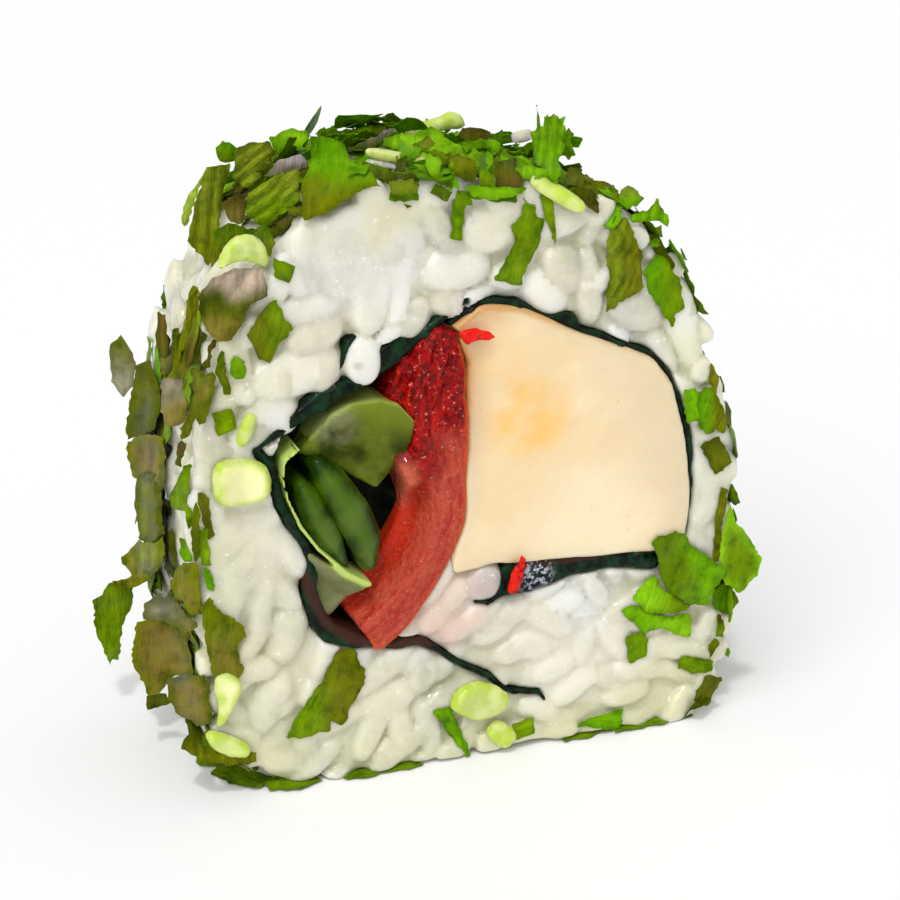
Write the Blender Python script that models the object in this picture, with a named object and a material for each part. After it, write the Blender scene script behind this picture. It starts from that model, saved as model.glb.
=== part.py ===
"""One piece of uramaki, an inside-out sushi roll, cut across and standing on its rolled side.

X runs across the cut face, Y along the roll's axis (the thickness of the slice) and Z up.
The origin is on the surface that the piece stands on, under the middle of its box.
Outlines are drawn on the cut face as (x, z) in millimetres. A layer is a band seen on edge, so it is drawn
as a ribbon: its middle line with a half width at each point, (x, z, half width).
"""

import math

import bmesh
import bpy
from mathutils import Vector, noise

MM = 0.001

# The slice
THICKNESS = 19.0  # along the roll's axis, between the two cuts
CLEARANCE = 0.3  # between pieces that touch
CUTTER_REACH = 4.0  # how far a cutter runs past both cut faces

# Rice, pressed into a slumped square. Points below the table are flattened onto it.
ROLL_OUTLINE = (
    (2.0, -0.6), (-9.0, -0.4), (-16.2, 1.0), (-20.8, 5.4), (-22.1, 13.0), (-22.3, 21.0),
    (-21.8, 29.0), (-19.0, 37.4), (-13.6, 44.6), (-5.0, 47.7), (4.0, 46.5), (12.6, 43.6),
    (18.0, 36.8), (21.0, 28.8), (22.3, 20.0), (22.2, 8.0), (20.8, 1.6), (14.0, -0.5),
)
ROLL_STEPS = 7  # points along each stretch of the outline
LUMP_HEIGHT = 0.45  # the grains' unevenness on the rolled side
LUMP_SIZE = 3.2
# How far the outline is drawn in at each depth from a cut face, which rounds the rim
RIM_PROFILE = ((0.0, 0.7), (0.3, 0.25), (1.0, 0.0), (3.3, 0.0), (5.5, 0.0), (7.6, 0.0))

# Nori: one sheet, from its inner end under the cheese round to its tail in the rice
NORI_HALF = 0.25
NORI_LINE = (
    (2.2, 13.9), (6.5, 14.5), (11.5, 14.9), (16.2, 14.7), (18.4, 15.8), (18.9, 19.0), (18.6, 23.5),
    (17.7, 28.0), (15.7, 32.0), (11.6, 34.3), (6.6, 36.6), (2.4, 38.3), (-0.6, 38.3), (-4.0, 36.7),
    (-7.4, 35.0), (-10.8, 32.8), (-14.2, 30.5), (-17.0, 27.9), (-16.5, 24.0), (-15.6, 20.0),
    (-14.5, 16.2), (-12.4, 13.0), (-9.5, 10.8), (-5.6, 9.9), (-2.4, 8.8), (1.0, 6.5), (3.6, 4.9),
    (5.9, 3.7),
)
NORI_STEPS = 4
NORI_CLOSES_AT = 22  # the point of the line under the pepper's end, where the sheet's tail begins
# Between the sheet's two ends the room for the filling closes inside the pepper and the cheese
ROOM_CLOSING = ((-7.4, 10.3), (-7.2, 12.2), (-4.3, 18.5), (-1.5, 18.0), (2.4, 16.6))

# Filling
CHEESE_OUTLINE = (
    (-1.9, 15.9), (7.0, 15.7), (15.0, 15.5), (17.7, 16.0), (18.2, 20.4), (17.6, 25.6), (16.3, 30.0),
    (14.6, 32.3), (9.0, 34.6), (3.4, 37.3), (0.4, 37.9), (-2.6, 35.9), (-2.6, 25.0),
)
CHEESE_ROUNDING = 0.8
PEPPER_WALL = (
    (-2.3, 36.2, 0.7), (-3.2, 34.5, 2.2), (-3.9, 31.4, 2.9), (-3.8, 27.6, 2.9), (-3.3, 24.2, 2.3),
    (-3.3, 21.4, 2.1), (-4.4, 18.5, 2.2), (-6.1, 16.0, 2.3), (-7.9, 14.1, 2.5), (-9.6, 12.9, 2.6),
)
PEPPER_RIB = ((-3.8, 23.0, 0.9), (-5.4, 23.9, 0.7), (-7.0, 25.0, 0.45))
GREEN_STEM_LONG = (
    (-12.7, 26.9, 0.5), (-11.5, 25.1, 1.2), (-9.8, 22.3, 1.4), (-8.8, 20.0, 1.35), (-8.4, 18.2, 1.0),
    (-8.4, 17.2, 0.5),
)
GREEN_STEM_SHORT = (
    (-14.1, 25.3, 0.4), (-13.5, 24.2, 1.0), (-12.7, 22.0, 1.25), (-11.7, 19.8, 1.15), (-10.6, 18.0, 0.4),
)
LETTUCE_FOLD = (
    (-14.2, 27.5, 0.3), (-13.0, 29.3, 0.4), (-11.0, 30.7, 0.5), (-8.9, 30.9, 0.5), (-7.9, 29.3, 0.5),
    (-8.2, 27.2, 0.45), (-9.4, 26.2, 0.35),
)
LETTUCE_WRAP = (
    (-6.4, 33.6, 0.5), (-9.0, 32.5, 0.6), (-12.3, 30.7, 0.35), (-14.8, 28.7, 0.4), (-15.8, 26.9, 0.4),
    (-15.4, 24.0, 0.35), (-14.6, 20.4, 0.4), (-13.5, 17.6, 0.7), (-12.4, 16.0, 0.8), (-10.6, 15.9, 0.5),
    (-9.2, 16.3, 0.25),
)
# The crumpled leaf deep between the strips, which closes the hollow and stops short of both cuts
LETTUCE_HEART = (
    (-12.0, 28.0), (-10.6, 30.0), (-9.0, 30.2), (-8.2, 28.0), (-4.5, 26.5), (-4.5, 20.0),
    (-7.6, 17.2), (-9.6, 23.0),
)
HEART_HALF_DEPTH = 5.0
RIBBON_STEPS = 5
# How far each piece stands proud of the rice at the cut faces
PROUD = {"nori": -0.1, "cheese": 0.1, "pepper": 0.4, "stem": 0.2, "lettuce": 0.5}

MATERIALS = {  # base colour, roughness
    "rice": ((0.86, 0.86, 0.76), 0.45),
    "nori": ((0.012, 0.022, 0.014), 0.4),
    "cheese": ((0.93, 0.80, 0.52), 0.4),
    "pepper": ((0.58, 0.02, 0.01), 0.25),
    "stem": ((0.09, 0.20, 0.02), 0.3),
    "lettuce": ((0.20, 0.33, 0.06), 0.4),
}


def clear_scene():
    for obj in list(bpy.data.objects):
        bpy.data.objects.remove(obj)


def material(name):
    colour, roughness = MATERIALS[name]
    made = bpy.data.materials.get(name) or bpy.data.materials.new(name)
    made.use_nodes = True
    shader = made.node_tree.nodes["Principled BSDF"]
    shader.inputs["Base Color"].default_value = (*colour, 1.0)
    shader.inputs["Roughness"].default_value = roughness
    shader.inputs["Metallic"].default_value = 0.0
    return made


def smooth(points, steps, closed):
    """A Catmull-Rom curve through the points, with steps points to each stretch."""
    points = [Vector(p) for p in points]
    count = len(points)

    def at(i):
        return points[i % count] if closed else points[max(0, min(count - 1, i))]

    line = []
    for i in range(count if closed else count - 1):
        a, b, c, d = (at(i + k) for k in (-1, 0, 1, 2))
        bend = 2 * a - 5 * b + 4 * c - d
        twist = 3 * b - a - 3 * c + d
        for step in range(steps):
            t = step / steps
            line.append(0.5 * (2 * b + (c - a) * t + bend * t**2 + twist * t**3))
    if not closed:
        line.append(points[-1])
    return line


def ribbon(points, steps, extra=0.0):
    """The outline of a band round its middle line. Extra widens it, and lengthens it at both ends."""
    line = smooth(points, steps, closed=False)
    left, right = [], []
    for i, point in enumerate(line):
        ahead = line[min(i + 1, len(line) - 1)] - line[max(i - 1, 0)]
        along = Vector((ahead[0], ahead[1])).normalized()
        normal = Vector((-along[1], along[0]))
        end = -1 if i == 0 else 1 if i == len(line) - 1 else 0
        centre = Vector((point[0], point[1])) + along * end * extra
        half = point[2] + extra
        left.append(centre + normal * half)
        right.append(centre - normal * half)
    return left + right[::-1]


def with_half(line, half):
    return [(x, z, half) for x, z in line]


def link(name, mesh, kind):
    obj = bpy.data.objects.new(name, mesh)
    bpy.context.scene.collection.objects.link(obj)
    if kind:
        mesh.materials.append(material(kind))
    return obj


def prism(name, outline, reach, kind=None):
    """The outline on the cut face, made solid from -reach to reach along the roll's axis."""
    bm = bmesh.new()
    front = bm.faces.new([bm.verts.new((x * MM, -reach * MM, z * MM)) for x, z in outline])
    made = bmesh.ops.extrude_face_region(bm, geom=[front])
    moved = [v for v in made["geom"] if isinstance(v, bmesh.types.BMVert)]
    bmesh.ops.translate(bm, verts=moved, vec=(0, 2 * reach * MM, 0))
    bmesh.ops.recalc_face_normals(bm, faces=bm.faces)
    mesh = bpy.data.meshes.new(name)
    bm.to_mesh(mesh)
    bm.free()
    return link(name, mesh, kind)


def cutter(name, outline):
    obj = prism(name, outline, THICKNESS / 2 + CUTTER_REACH)
    obj.hide_render = True
    obj.display_type = "WIRE"
    return obj


def boolean(obj, other, operation="DIFFERENCE"):
    modifier = obj.modifiers.new(f"{operation.lower()} {other.name}", "BOOLEAN")
    modifier.operation = operation
    modifier.solver = "EXACT"
    modifier.object = other


def round_rims(obj, width):
    """Rounds the edges between a prism's side and its two cut faces."""
    rounding = obj.modifiers.new("rim", "BEVEL")
    rounding.width = width * MM
    rounding.segments = 2
    rounding.limit_method = "ANGLE"
    rounding.angle_limit = math.radians(60)


def half_depth(kind):
    return THICKNESS / 2 + PROUD[kind]


def rice_section(y, inset):
    """One lumpy section of the roll, drawn in by inset, and flattened onto the table."""
    outline = smooth(ROLL_OUTLINE, ROLL_STEPS, closed=True)
    centre = Vector((0.0, sum(p[1] for p in outline) / len(outline)))
    section = []
    for point in outline:
        outward = (point - centre).normalized()
        lump = noise.noise(Vector((point[0], y, point[1])) / LUMP_SIZE)
        moved = point + outward * (LUMP_HEIGHT * lump - inset)
        section.append(Vector((moved[0] * MM, y * MM, max(moved[1], 0.0) * MM)))
    return section


def rice_body():
    """The rice before the filling's room is cut from it: sections joined along the roll's axis."""
    half = THICKNESS / 2
    front = [(-half + depth, inset) for depth, inset in RIM_PROFILE]
    levels = front + [(-y, inset) for y, inset in reversed(front)]
    bm = bmesh.new()
    rings = [[bm.verts.new(p) for p in rice_section(y, inset)] for y, inset in levels]
    for ring, following in zip(rings, rings[1:]):
        for i in range(len(ring)):
            j = (i + 1) % len(ring)
            bm.faces.new((ring[i], ring[j], following[j], following[i]))
    bm.faces.new(rings[0])
    bm.faces.new(rings[-1])
    bmesh.ops.recalc_face_normals(bm, faces=bm.faces)
    mesh = bpy.data.meshes.new("rice")
    bm.to_mesh(mesh)
    bm.free()
    return link("rice", mesh, "rice")


def filling_room():
    """The outline of all that the rice leaves free inside the nori."""
    wrapped = smooth(NORI_LINE[: NORI_CLOSES_AT + 1], NORI_STEPS, closed=False)
    return wrapped + [Vector(p) for p in ROOM_CLOSING]


def rounded(outline, radius, steps=3):
    """The outline with each corner replaced by a short arc that starts at radius from it."""
    points = [Vector(p) for p in outline]
    made = []
    for i, corner in enumerate(points):
        before = corner + (points[i - 1] - corner).normalized() * radius
        after = corner + (points[(i + 1) % len(points)] - corner).normalized() * radius
        for step in range(steps + 1):
            t = step / steps
            made.append((1 - t) ** 2 * before + 2 * t * (1 - t) * corner + t**2 * after)
    return made


def grown(outline, extra):
    """A rounded outline, drawn anticlockwise, moved outward by extra."""
    made = []
    for i, point in enumerate(outline):
        along = (outline[(i + 1) % len(outline)] - outline[i - 1]).normalized()
        made.append(point + Vector((along[1], -along[0])) * extra)
    return made


def strip(name, points, kind, rim=0.0):
    """A layer that runs right through the roll, drawn as a ribbon on the cut face."""
    obj = prism(name, ribbon(points, RIBBON_STEPS), half_depth(kind), kind)
    if rim:
        round_rims(obj, rim)
    return obj


def main():
    clear_scene()
    nori_line = with_half(NORI_LINE, NORI_HALF)
    prism("nori", ribbon(nori_line, NORI_STEPS), half_depth("nori"), "nori")
    around_nori = cutter("cut_nori", ribbon(nori_line, NORI_STEPS, CLEARANCE))

    cheese_outline = rounded(CHEESE_OUTLINE, CHEESE_ROUNDING)
    around_cheese = cutter("cut_cheese", grown(cheese_outline, CLEARANCE))
    around_wall = cutter("cut_pepper", ribbon(PEPPER_WALL, RIBBON_STEPS, CLEARANCE))
    around_rib = cutter("cut_rib", ribbon(PEPPER_RIB, RIBBON_STEPS, CLEARANCE))

    rice = rice_body()
    for other in (cutter("cut_filling", filling_room()), around_nori, around_wall, around_cheese):
        boolean(rice, other)

    pepper = strip("pepper_strip", PEPPER_WALL, "pepper")
    rib = prism("pepper_rib", ribbon(PEPPER_RIB, RIBBON_STEPS), half_depth("pepper") - 0.1)
    rib.hide_render = True
    rib.display_type = "WIRE"
    boolean(pepper, rib, "UNION")
    boolean(pepper, around_nori)

    cheese = prism("cheese_block", cheese_outline, half_depth("cheese"), "cheese")
    boolean(cheese, around_nori)
    boolean(cheese, around_wall)

    around_stems = []
    for name, points in (("green_stem_long", GREEN_STEM_LONG), ("green_stem_short", GREEN_STEM_SHORT)):
        stem = strip(name, points, "stem", rim=0.3)
        for other in (around_wall, *around_stems):
            boolean(stem, other)
        around_stems.append(cutter(f"cut_{name}", ribbon(points, RIBBON_STEPS, CLEARANCE)))

    around_fold = cutter("cut_fold", ribbon(LETTUCE_FOLD, RIBBON_STEPS, CLEARANCE))
    for name, points in (("lettuce_fold", LETTUCE_FOLD), ("lettuce_wrap", LETTUCE_WRAP)):
        leaf = strip(name, points, "lettuce")
        for other in (around_nori, around_wall, around_rib, *around_stems):
            boolean(leaf, other)
    boolean(bpy.data.objects["lettuce_wrap"], around_fold)

    heart = prism("lettuce_heart", LETTUCE_HEART, HEART_HALF_DEPTH, "lettuce")
    around_wrap = cutter("cut_wrap", ribbon(LETTUCE_WRAP, RIBBON_STEPS, CLEARANCE))
    for other in (around_nori, around_wall, around_rib, *around_stems, around_fold, around_wrap):
        boolean(heart, other)


main()
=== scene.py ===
"""The looks of one piece of uramaki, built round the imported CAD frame.

Sizes in this script are in millimetres, in the frame's own axes: X across the cut face, Y along the
roll's axis with the seen face at -Y, Z up. They become metres where a mesh is made.

Rice and fillings are fields: a number at each point of a grid, negative inside. Simple shapes are
joined softly in the field, and surface_net() turns the place where it is zero into a mesh.
"""

import math

import bpy
import numpy as np
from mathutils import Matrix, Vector
from mathutils.bvhtree import BVHTree
from mathutils.geometry import delaunay_2d_cdt


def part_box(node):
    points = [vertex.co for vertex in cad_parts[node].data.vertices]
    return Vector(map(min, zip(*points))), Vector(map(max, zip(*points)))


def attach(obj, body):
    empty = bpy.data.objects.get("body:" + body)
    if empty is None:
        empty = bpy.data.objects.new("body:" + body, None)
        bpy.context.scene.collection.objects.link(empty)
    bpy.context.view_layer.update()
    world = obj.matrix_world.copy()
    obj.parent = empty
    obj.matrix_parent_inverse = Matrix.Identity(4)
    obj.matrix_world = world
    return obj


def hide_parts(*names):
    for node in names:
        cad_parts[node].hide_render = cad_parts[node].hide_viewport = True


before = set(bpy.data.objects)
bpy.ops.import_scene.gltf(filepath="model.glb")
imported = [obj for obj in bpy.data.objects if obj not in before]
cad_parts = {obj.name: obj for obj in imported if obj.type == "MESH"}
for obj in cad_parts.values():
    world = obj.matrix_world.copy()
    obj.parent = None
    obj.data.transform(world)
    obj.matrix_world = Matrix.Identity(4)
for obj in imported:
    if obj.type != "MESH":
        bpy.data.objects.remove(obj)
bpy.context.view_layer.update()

MM = 0.001

# ---------------------------------------------------------------- sizes and places
CAMERA_AIM = (1.19, 0.0, 23.0)
CAMERA_TURN, CAMERA_RISE, CAMERA_AWAY = math.radians(-20), math.radians(20), 170.0
TOWARD_CAMERA = np.array((
    math.sin(CAMERA_TURN) * math.cos(CAMERA_RISE),
    -math.cos(CAMERA_TURN) * math.cos(CAMERA_RISE),
    math.sin(CAMERA_RISE),
))
EYE = np.array(CAMERA_AIM) + TOWARD_CAMERA * CAMERA_AWAY
HALF_SLICE = (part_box("rice")[1].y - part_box("rice")[0].y) / 2 / MM
DRAWN_AT = 0.3 - HALF_SLICE  # the plane on which the flakes that show are drawn
RIM_INSET = 0.7  # the CAD rice's outline is drawn in this far at its cut faces

GRAIN_LENGTH = (4.8, 6.6)
GRAIN_WIDTH = (2.2, 2.9)
GRAIN_FLATNESS = (0.80, 0.95)  # thickness over width
GRAIN_POWER = 2.3  # 2 makes an ellipsoid, and more makes it blunter
GRAIN_SPACING = 2.05
GRAIN_REACH = 3.6  # no grain reaches further from its middle
FACE_BOX = (-22.4, 0), (22.4, 48)  # x, z between which grains lie on the cut faces
WARP_SHIFTS = (0.0, 11.3, 23.9)  # so that grains bend differently along each axis
GRAIN_DEPTH = 1.25  # of a surface grain's middle
CORE_DEPTH = 0.8
JOIN = 0.12  # how far touching grains run together
SMEARED_JOIN = 0.26
SMEARS = (  # where the knife has smeared the face: x, z, radius, how much
    (-9.0, 43.5, 7.0, 1.0),
    (4.0, 44.5, 4.5, 1.0),
    (-19.0, 20.0, 6.0, 1.0),
    (19.0, 20.0, 6.0, 1.0),
    (7.0, 8.5, 9.0, 0.45),
    (-12.0, 7.0, 8.0, 0.30),
    (-2.0, 13.0, 4.0, 0.6),
)
LOBES = (  # grains that show by the nori: x, z, direction of their length in degrees, length, width, proud
    (-2.2, 38.2, 90, 2.7, 2.5, 0.35),
    (-5.0, 37.1, 60, 3.8, 3.1, 0.25),
    (-8.5, 39.0, 80, 5.6, 4.2, 0.45),
    (-9.0, 34.4, 90, 4.1, 3.9, 0.50),
    (-11.9, 33.9, 80, 4.0, 2.7, 0.25),
    (-12.7, 37.0, 15, 5.0, 3.7, 0.35),
    (-14.8, 33.9, 10, 6.8, 3.9, 0.45),
    (-16.0, 31.0, -20, 4.6, 3.6, 0.25),
    (-17.6, 29.6, 30, 4.0, 3.0, 0.20),
    (-1.6, 40.9, 5, 6.0, 4.0, 0.35),
    (2.6, 39.6, 0, 3.0, 2.4, 0.15),
    (5.5, 38.2, -35, 4.8, 3.2, 0.40),
    (7.0, 40.0, -60, 4.6, 3.5, 0.40),
    (9.2, 38.4, 95, 6.6, 2.5, 0.30),
    (0.8, 43.6, 0, 5.0, 4.3, 0.30),
    (13.2, 36.3, -30, 6.0, 4.2, 0.25),
    (17.4, 34.5, -75, 8.5, 3.2, 0.25),
    (0.75, 15.1, 80, 3.3, 3.1, 0.60),
    (-1.6, 14.4, 60, 3.4, 2.8, 0.30),
    (-3.4, 12.6, 40, 4.0, 2.8, 0.20),
    (-1.3, 11.4, 20, 3.6, 2.6, 0.25),
    (1.6, 10.8, 25, 4.6, 2.6, 0.25),
    (3.2, 12.0, 25, 4.4, 2.4, 0.20),
    (6.3, 10.9, -35, 5.6, 2.3, 0.35),
    (7.6, 12.3, -10, 4.2, 2.3, 0.15),
    (3.4, 8.6, 15, 4.4, 2.3, 0.20),
    (9.4, 8.0, 70, 4.4, 2.4, 0.20),
    (6.9, 6.6, 20, 4.6, 2.6, 0.30),
    (8.6, 4.6, 35, 5.0, 2.7, 0.35),
    (5.6, 3.0, -20, 4.4, 2.5, 0.25),
    (11.6, 5.0, -15, 4.4, 2.4, 0.20),
    (13.4, 3.2, 10, 4.8, 2.4, 0.30),
    (-16.9, 7.6, 60, 6.2, 3.2, 0.35),
    (-15.4, 13.2, 75, 5.6, 3.4, 0.30),
    (-14.9, 19.6, -60, 4.8, 2.6, 0.20),
    (-7.5, 6.2, 20, 5.4, 3.8, 0.35),
    (-4.3, 7.8, 40, 4.4, 3.2, 0.25),
)
STRAY_GRAIN = ((-21.1, 8.4, 35.6), (0.05, 0.1, 1.0), (3.3, 1.0, 0.9))  # middle, direction, half sizes
PINK_STAIN = (-2.2, 13.2, 5.0)  # x, z, radius of the rice stained by the pepper
PALE_PATCH = (7.0, 8.5, 9.0)  # x, z, radius of the low rice that stays as bright as the high
GREEN_PATCHES = (  # x, z, radius, how much greener
    (8.0, 8.5, 9.0, -0.5),
    (-15.0, 12.0, 12.0, 0.25),
    (17.0, 4.0, 6.0, 0.3),
)
LILAC_STAIN = (0.8, 15.1, 2.2)
GRAIN_DIMPLE = (-9.5, 34.2, 0.50)  # the pit in the grain that is seen end on: x, z, radius

RICE_SLABS = (  # piece name, where its grains' middles lie along the roll, grid step
    ("rice_front", -20.0, -5.2, 0.26),
    ("rice_middle", -5.2, 5.2, 0.38),
    ("rice_back", 5.2, 20.0, 0.33),
)

rng = np.random.default_rng(20)


# ---------------------------------------------------------------- numbers
def smoothstep(low, high, value):
    t = np.clip((value - low) / (high - low), 0, 1)
    return t * t * (3 - 2 * t)


def near(x, z, spot):
    """1 at the middle of a spot (x, z, radius), falling to 0 at its radius."""
    return 1 - smoothstep(0.35, 1.0, np.hypot(x - spot[0], z - spot[1]) / spot[2])


LATTICE = np.random.default_rng(5).random((32, 32, 32)).astype(np.float32) * 2 - 1


def ripple(x, y, z, size):
    """Smooth noise from -1 to 1 with bumps about size across."""
    cells, parts = [], []
    for value, shift in ((x, 7.3), (y, 17.9), (z, 3.1)):
        scaled = np.asarray(value, np.float32) / size + shift
        whole = np.floor(scaled)
        part = scaled - whole
        cells.append(whole.astype(np.int32) % 32)
        parts.append(part * part * (3 - 2 * part))
    total = 0.0
    for i in (0, 1):
        for j in (0, 1):
            for k in (0, 1):
                weight = (
                    (parts[0] if i else 1 - parts[0])
                    * (parts[1] if j else 1 - parts[1])
                    * (parts[2] if k else 1 - parts[2])
                )
                total = total + weight * LATTICE[
                    (cells[0] + i) % 32, (cells[1] + j) % 32, (cells[2] + k) % 32
                ]
    return total


def soft_max(a, b, k):
    """The larger of two fields, with the edge between them rounded over about k."""
    h = np.clip(0.5 + 0.5 * (a - b) / k, 0, 1)
    return b + (a - b) * h + k * h * (1 - h)


def soft_min(a, b, k):
    return -soft_max(-a, -b, k)


# ---------------------------------------------------------------- outlines from the frame
def face_loops(node):
    """The closed outlines of a CAD node's front cut face, as arrays of (x, z), the longest first."""
    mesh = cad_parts[node].data
    points = np.array([v.co for v in mesh.vertices]) / MM
    on_face = points[:, 1] < points[:, 1].min() + 0.02
    key = {}
    ids = [key.setdefault((round(p[0], 2), round(p[2], 2)), len(key)) if f else -1
           for p, f in zip(points, on_face)]
    places = np.array(list(key))
    mesh.calc_loop_triangles()
    edges = {}
    for triangle in mesh.loop_triangles:
        corners = [ids[v] for v in triangle.vertices]
        if min(corners) < 0 or len(set(corners)) < 3:
            continue
        for a, b in zip(corners, corners[1:] + corners[:1]):
            edges[(a, b)] = edges.get((a, b), 0) + 1
    following = {}
    for a, b in edges:
        if (b, a) not in edges:
            following[a] = b
    loops = []
    while following:
        start, at = next(iter(following.items()))
        del following[start]
        loop = [start]
        while at != start and at in following:
            loop.append(at)
            at = following.pop(at)
        if len(loop) > 5:
            loops.append(places[loop])
    return sorted(loops, key=lambda p: -np.hypot(*(p - np.roll(p, 1, 0)).T).sum())


def outline_distance(loops, x, z):
    """Distance to the outlines in the plane of the cut, negative inside them."""
    best = np.full(np.broadcast(x, z).shape, 1e9)
    inside = np.zeros(best.shape, bool)
    for loop in loops:
        for (ax, az), (bx, bz) in zip(loop, np.roll(loop, -1, 0)):
            dx, dz = bx - ax, bz - az
            t = np.clip(((x - ax) * dx + (z - az) * dz) / (dx * dx + dz * dz + 1e-12), 0, 1)
            best = np.minimum(best, (x - ax - t * dx) ** 2 + (z - az - t * dz) ** 2)
            if az != bz:
                inside ^= ((az > z) != (bz > z)) & (x < dx * (z - az) / dz + ax)
    best = np.sqrt(best)
    return np.where(inside, -best, best)


class Grid:
    """A box of points at which fields are worked out."""

    def __init__(self, low, high, step):
        self.step = np.broadcast_to(np.array(step, float), 3)
        self.low = np.array(low, float)
        self.shape = tuple(int(n) for n in np.ceil((np.array(high) - self.low) / self.step) + 1)
        self.axes = [self.low[i] + self.step[i] * np.arange(self.shape[i]) for i in range(3)]
        self.x = self.axes[0][:, None, None]
        self.y = self.axes[1][None, :, None]
        self.z = self.axes[2][None, None, :]
        self.flat_x, self.flat_z = self.axes[0][:, None], self.axes[2][None, :]

    def window(self, middle, reach):
        """The slices of the grid that lie within reach of a place."""
        window = []
        for i in range(3):
            first = max(int((middle[i] - reach - self.low[i]) / self.step[i]), 0)
            last = min(int((middle[i] + reach - self.low[i]) / self.step[i]) + 2, self.shape[i])
            window.append(slice(first, max(last, first)))
        return tuple(window)

    def in_plane(self, loops):
        """outline_distance at every point, worked out once for the plane."""
        return outline_distance(loops, self.flat_x, self.flat_z)[:, None, :]


def surface_net(values, grid):
    """Corners and four-sided faces of the surface where values is zero. Negative is inside."""
    inside = values < 0
    shape = tuple(n - 1 for n in values.shape)
    corners = [(i, j, k) for i in (0, 1) for j in (0, 1) for k in (0, 1)]

    def shifted(array, corner):
        i, j, k = corner
        return array[i : i + shape[0], j : j + shape[1], k : k + shape[2]]

    count = np.zeros(shape, np.int8)
    for corner in corners:
        count += shifted(inside, corner)
    crossed = (count > 0) & (count < 8)
    cell = np.argwhere(crossed)
    number = np.full(shape, -1, np.int64)
    number[crossed] = np.arange(len(cell))
    at_corner = np.stack([shifted(values, corner)[crossed] for corner in corners], 1)
    total = np.zeros((len(cell), 3))
    crossings = np.zeros(len(cell))
    for a, first in enumerate(corners):
        for b, second in enumerate(corners):
            if a >= b or sum(abs(p - q) for p, q in zip(first, second)) != 1:
                continue
            va, vb = at_corner[:, a], at_corner[:, b]
            cut = (va < 0) != (vb < 0)
            share = np.where(cut, va / np.where(cut, va - vb, 1), 0)
            point = np.array(first) + share[:, None] * (np.array(second) - np.array(first))
            total += np.where(cut[:, None], point, 0)
            crossings += cut
    points = grid.low + (cell + total / crossings[:, None]) * grid.step
    faces = []
    for axis in range(3):
        low = [slice(1, -1)] * 3
        high = [slice(1, -1)] * 3
        low[axis], high[axis] = slice(0, -1), slice(1, None)
        a, b = inside[tuple(low)], inside[tuple(high)]
        edge = np.argwhere(a != b)
        outward = a[a != b]
        edge += [0 if i == axis else 1 for i in range(3)]
        u, v = [(1, 2), (2, 0), (0, 1)][axis]
        ring = []
        for du, dv in ((-1, -1), (0, -1), (0, 0), (-1, 0)):
            at = edge.copy()
            at[:, u] += du
            at[:, v] += dv
            ring.append(number[at[:, 0], at[:, 1], at[:, 2]])
        ring = np.stack(ring, 1)
        faces.append(np.where(outward[:, None], ring, ring[:, ::-1]))
    return points, np.concatenate(faces)


# ---------------------------------------------------------------- pieces
def in_scene(name, data):
    obj = bpy.data.objects.new(name, data)
    bpy.context.scene.collection.objects.link(obj)
    return obj


def piece(name, points, faces, material, nodes=(), colours=None, vectors=None):
    """A smooth mesh from points in millimetres, riding on the frame."""
    mesh = bpy.data.meshes.new(name)
    mesh.from_pydata((np.asarray(points) * MM).tolist(), [], np.asarray(faces).tolist())
    mesh.polygons.foreach_set("use_smooth", np.ones(len(mesh.polygons), bool))
    for key, kind, values in (("tone", "FLOAT_COLOR", colours), ("leaf", "FLOAT_VECTOR", vectors)):
        if values is not None:
            attribute = mesh.attributes.new(key, kind, "POINT")
            channel = "color" if kind == "FLOAT_COLOR" else "vector"
            attribute.data.foreach_set(channel, np.asarray(values, np.float32).ravel())
    mesh.materials.append(material)
    mesh.update()
    obj = in_scene(name, mesh)
    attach(obj, "root")
    if nodes:
        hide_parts(*nodes)
    triangles = sum(len(p.vertices) - 2 for p in mesh.polygons)
    print(f"{name}: {triangles} triangles")
    return obj


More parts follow.
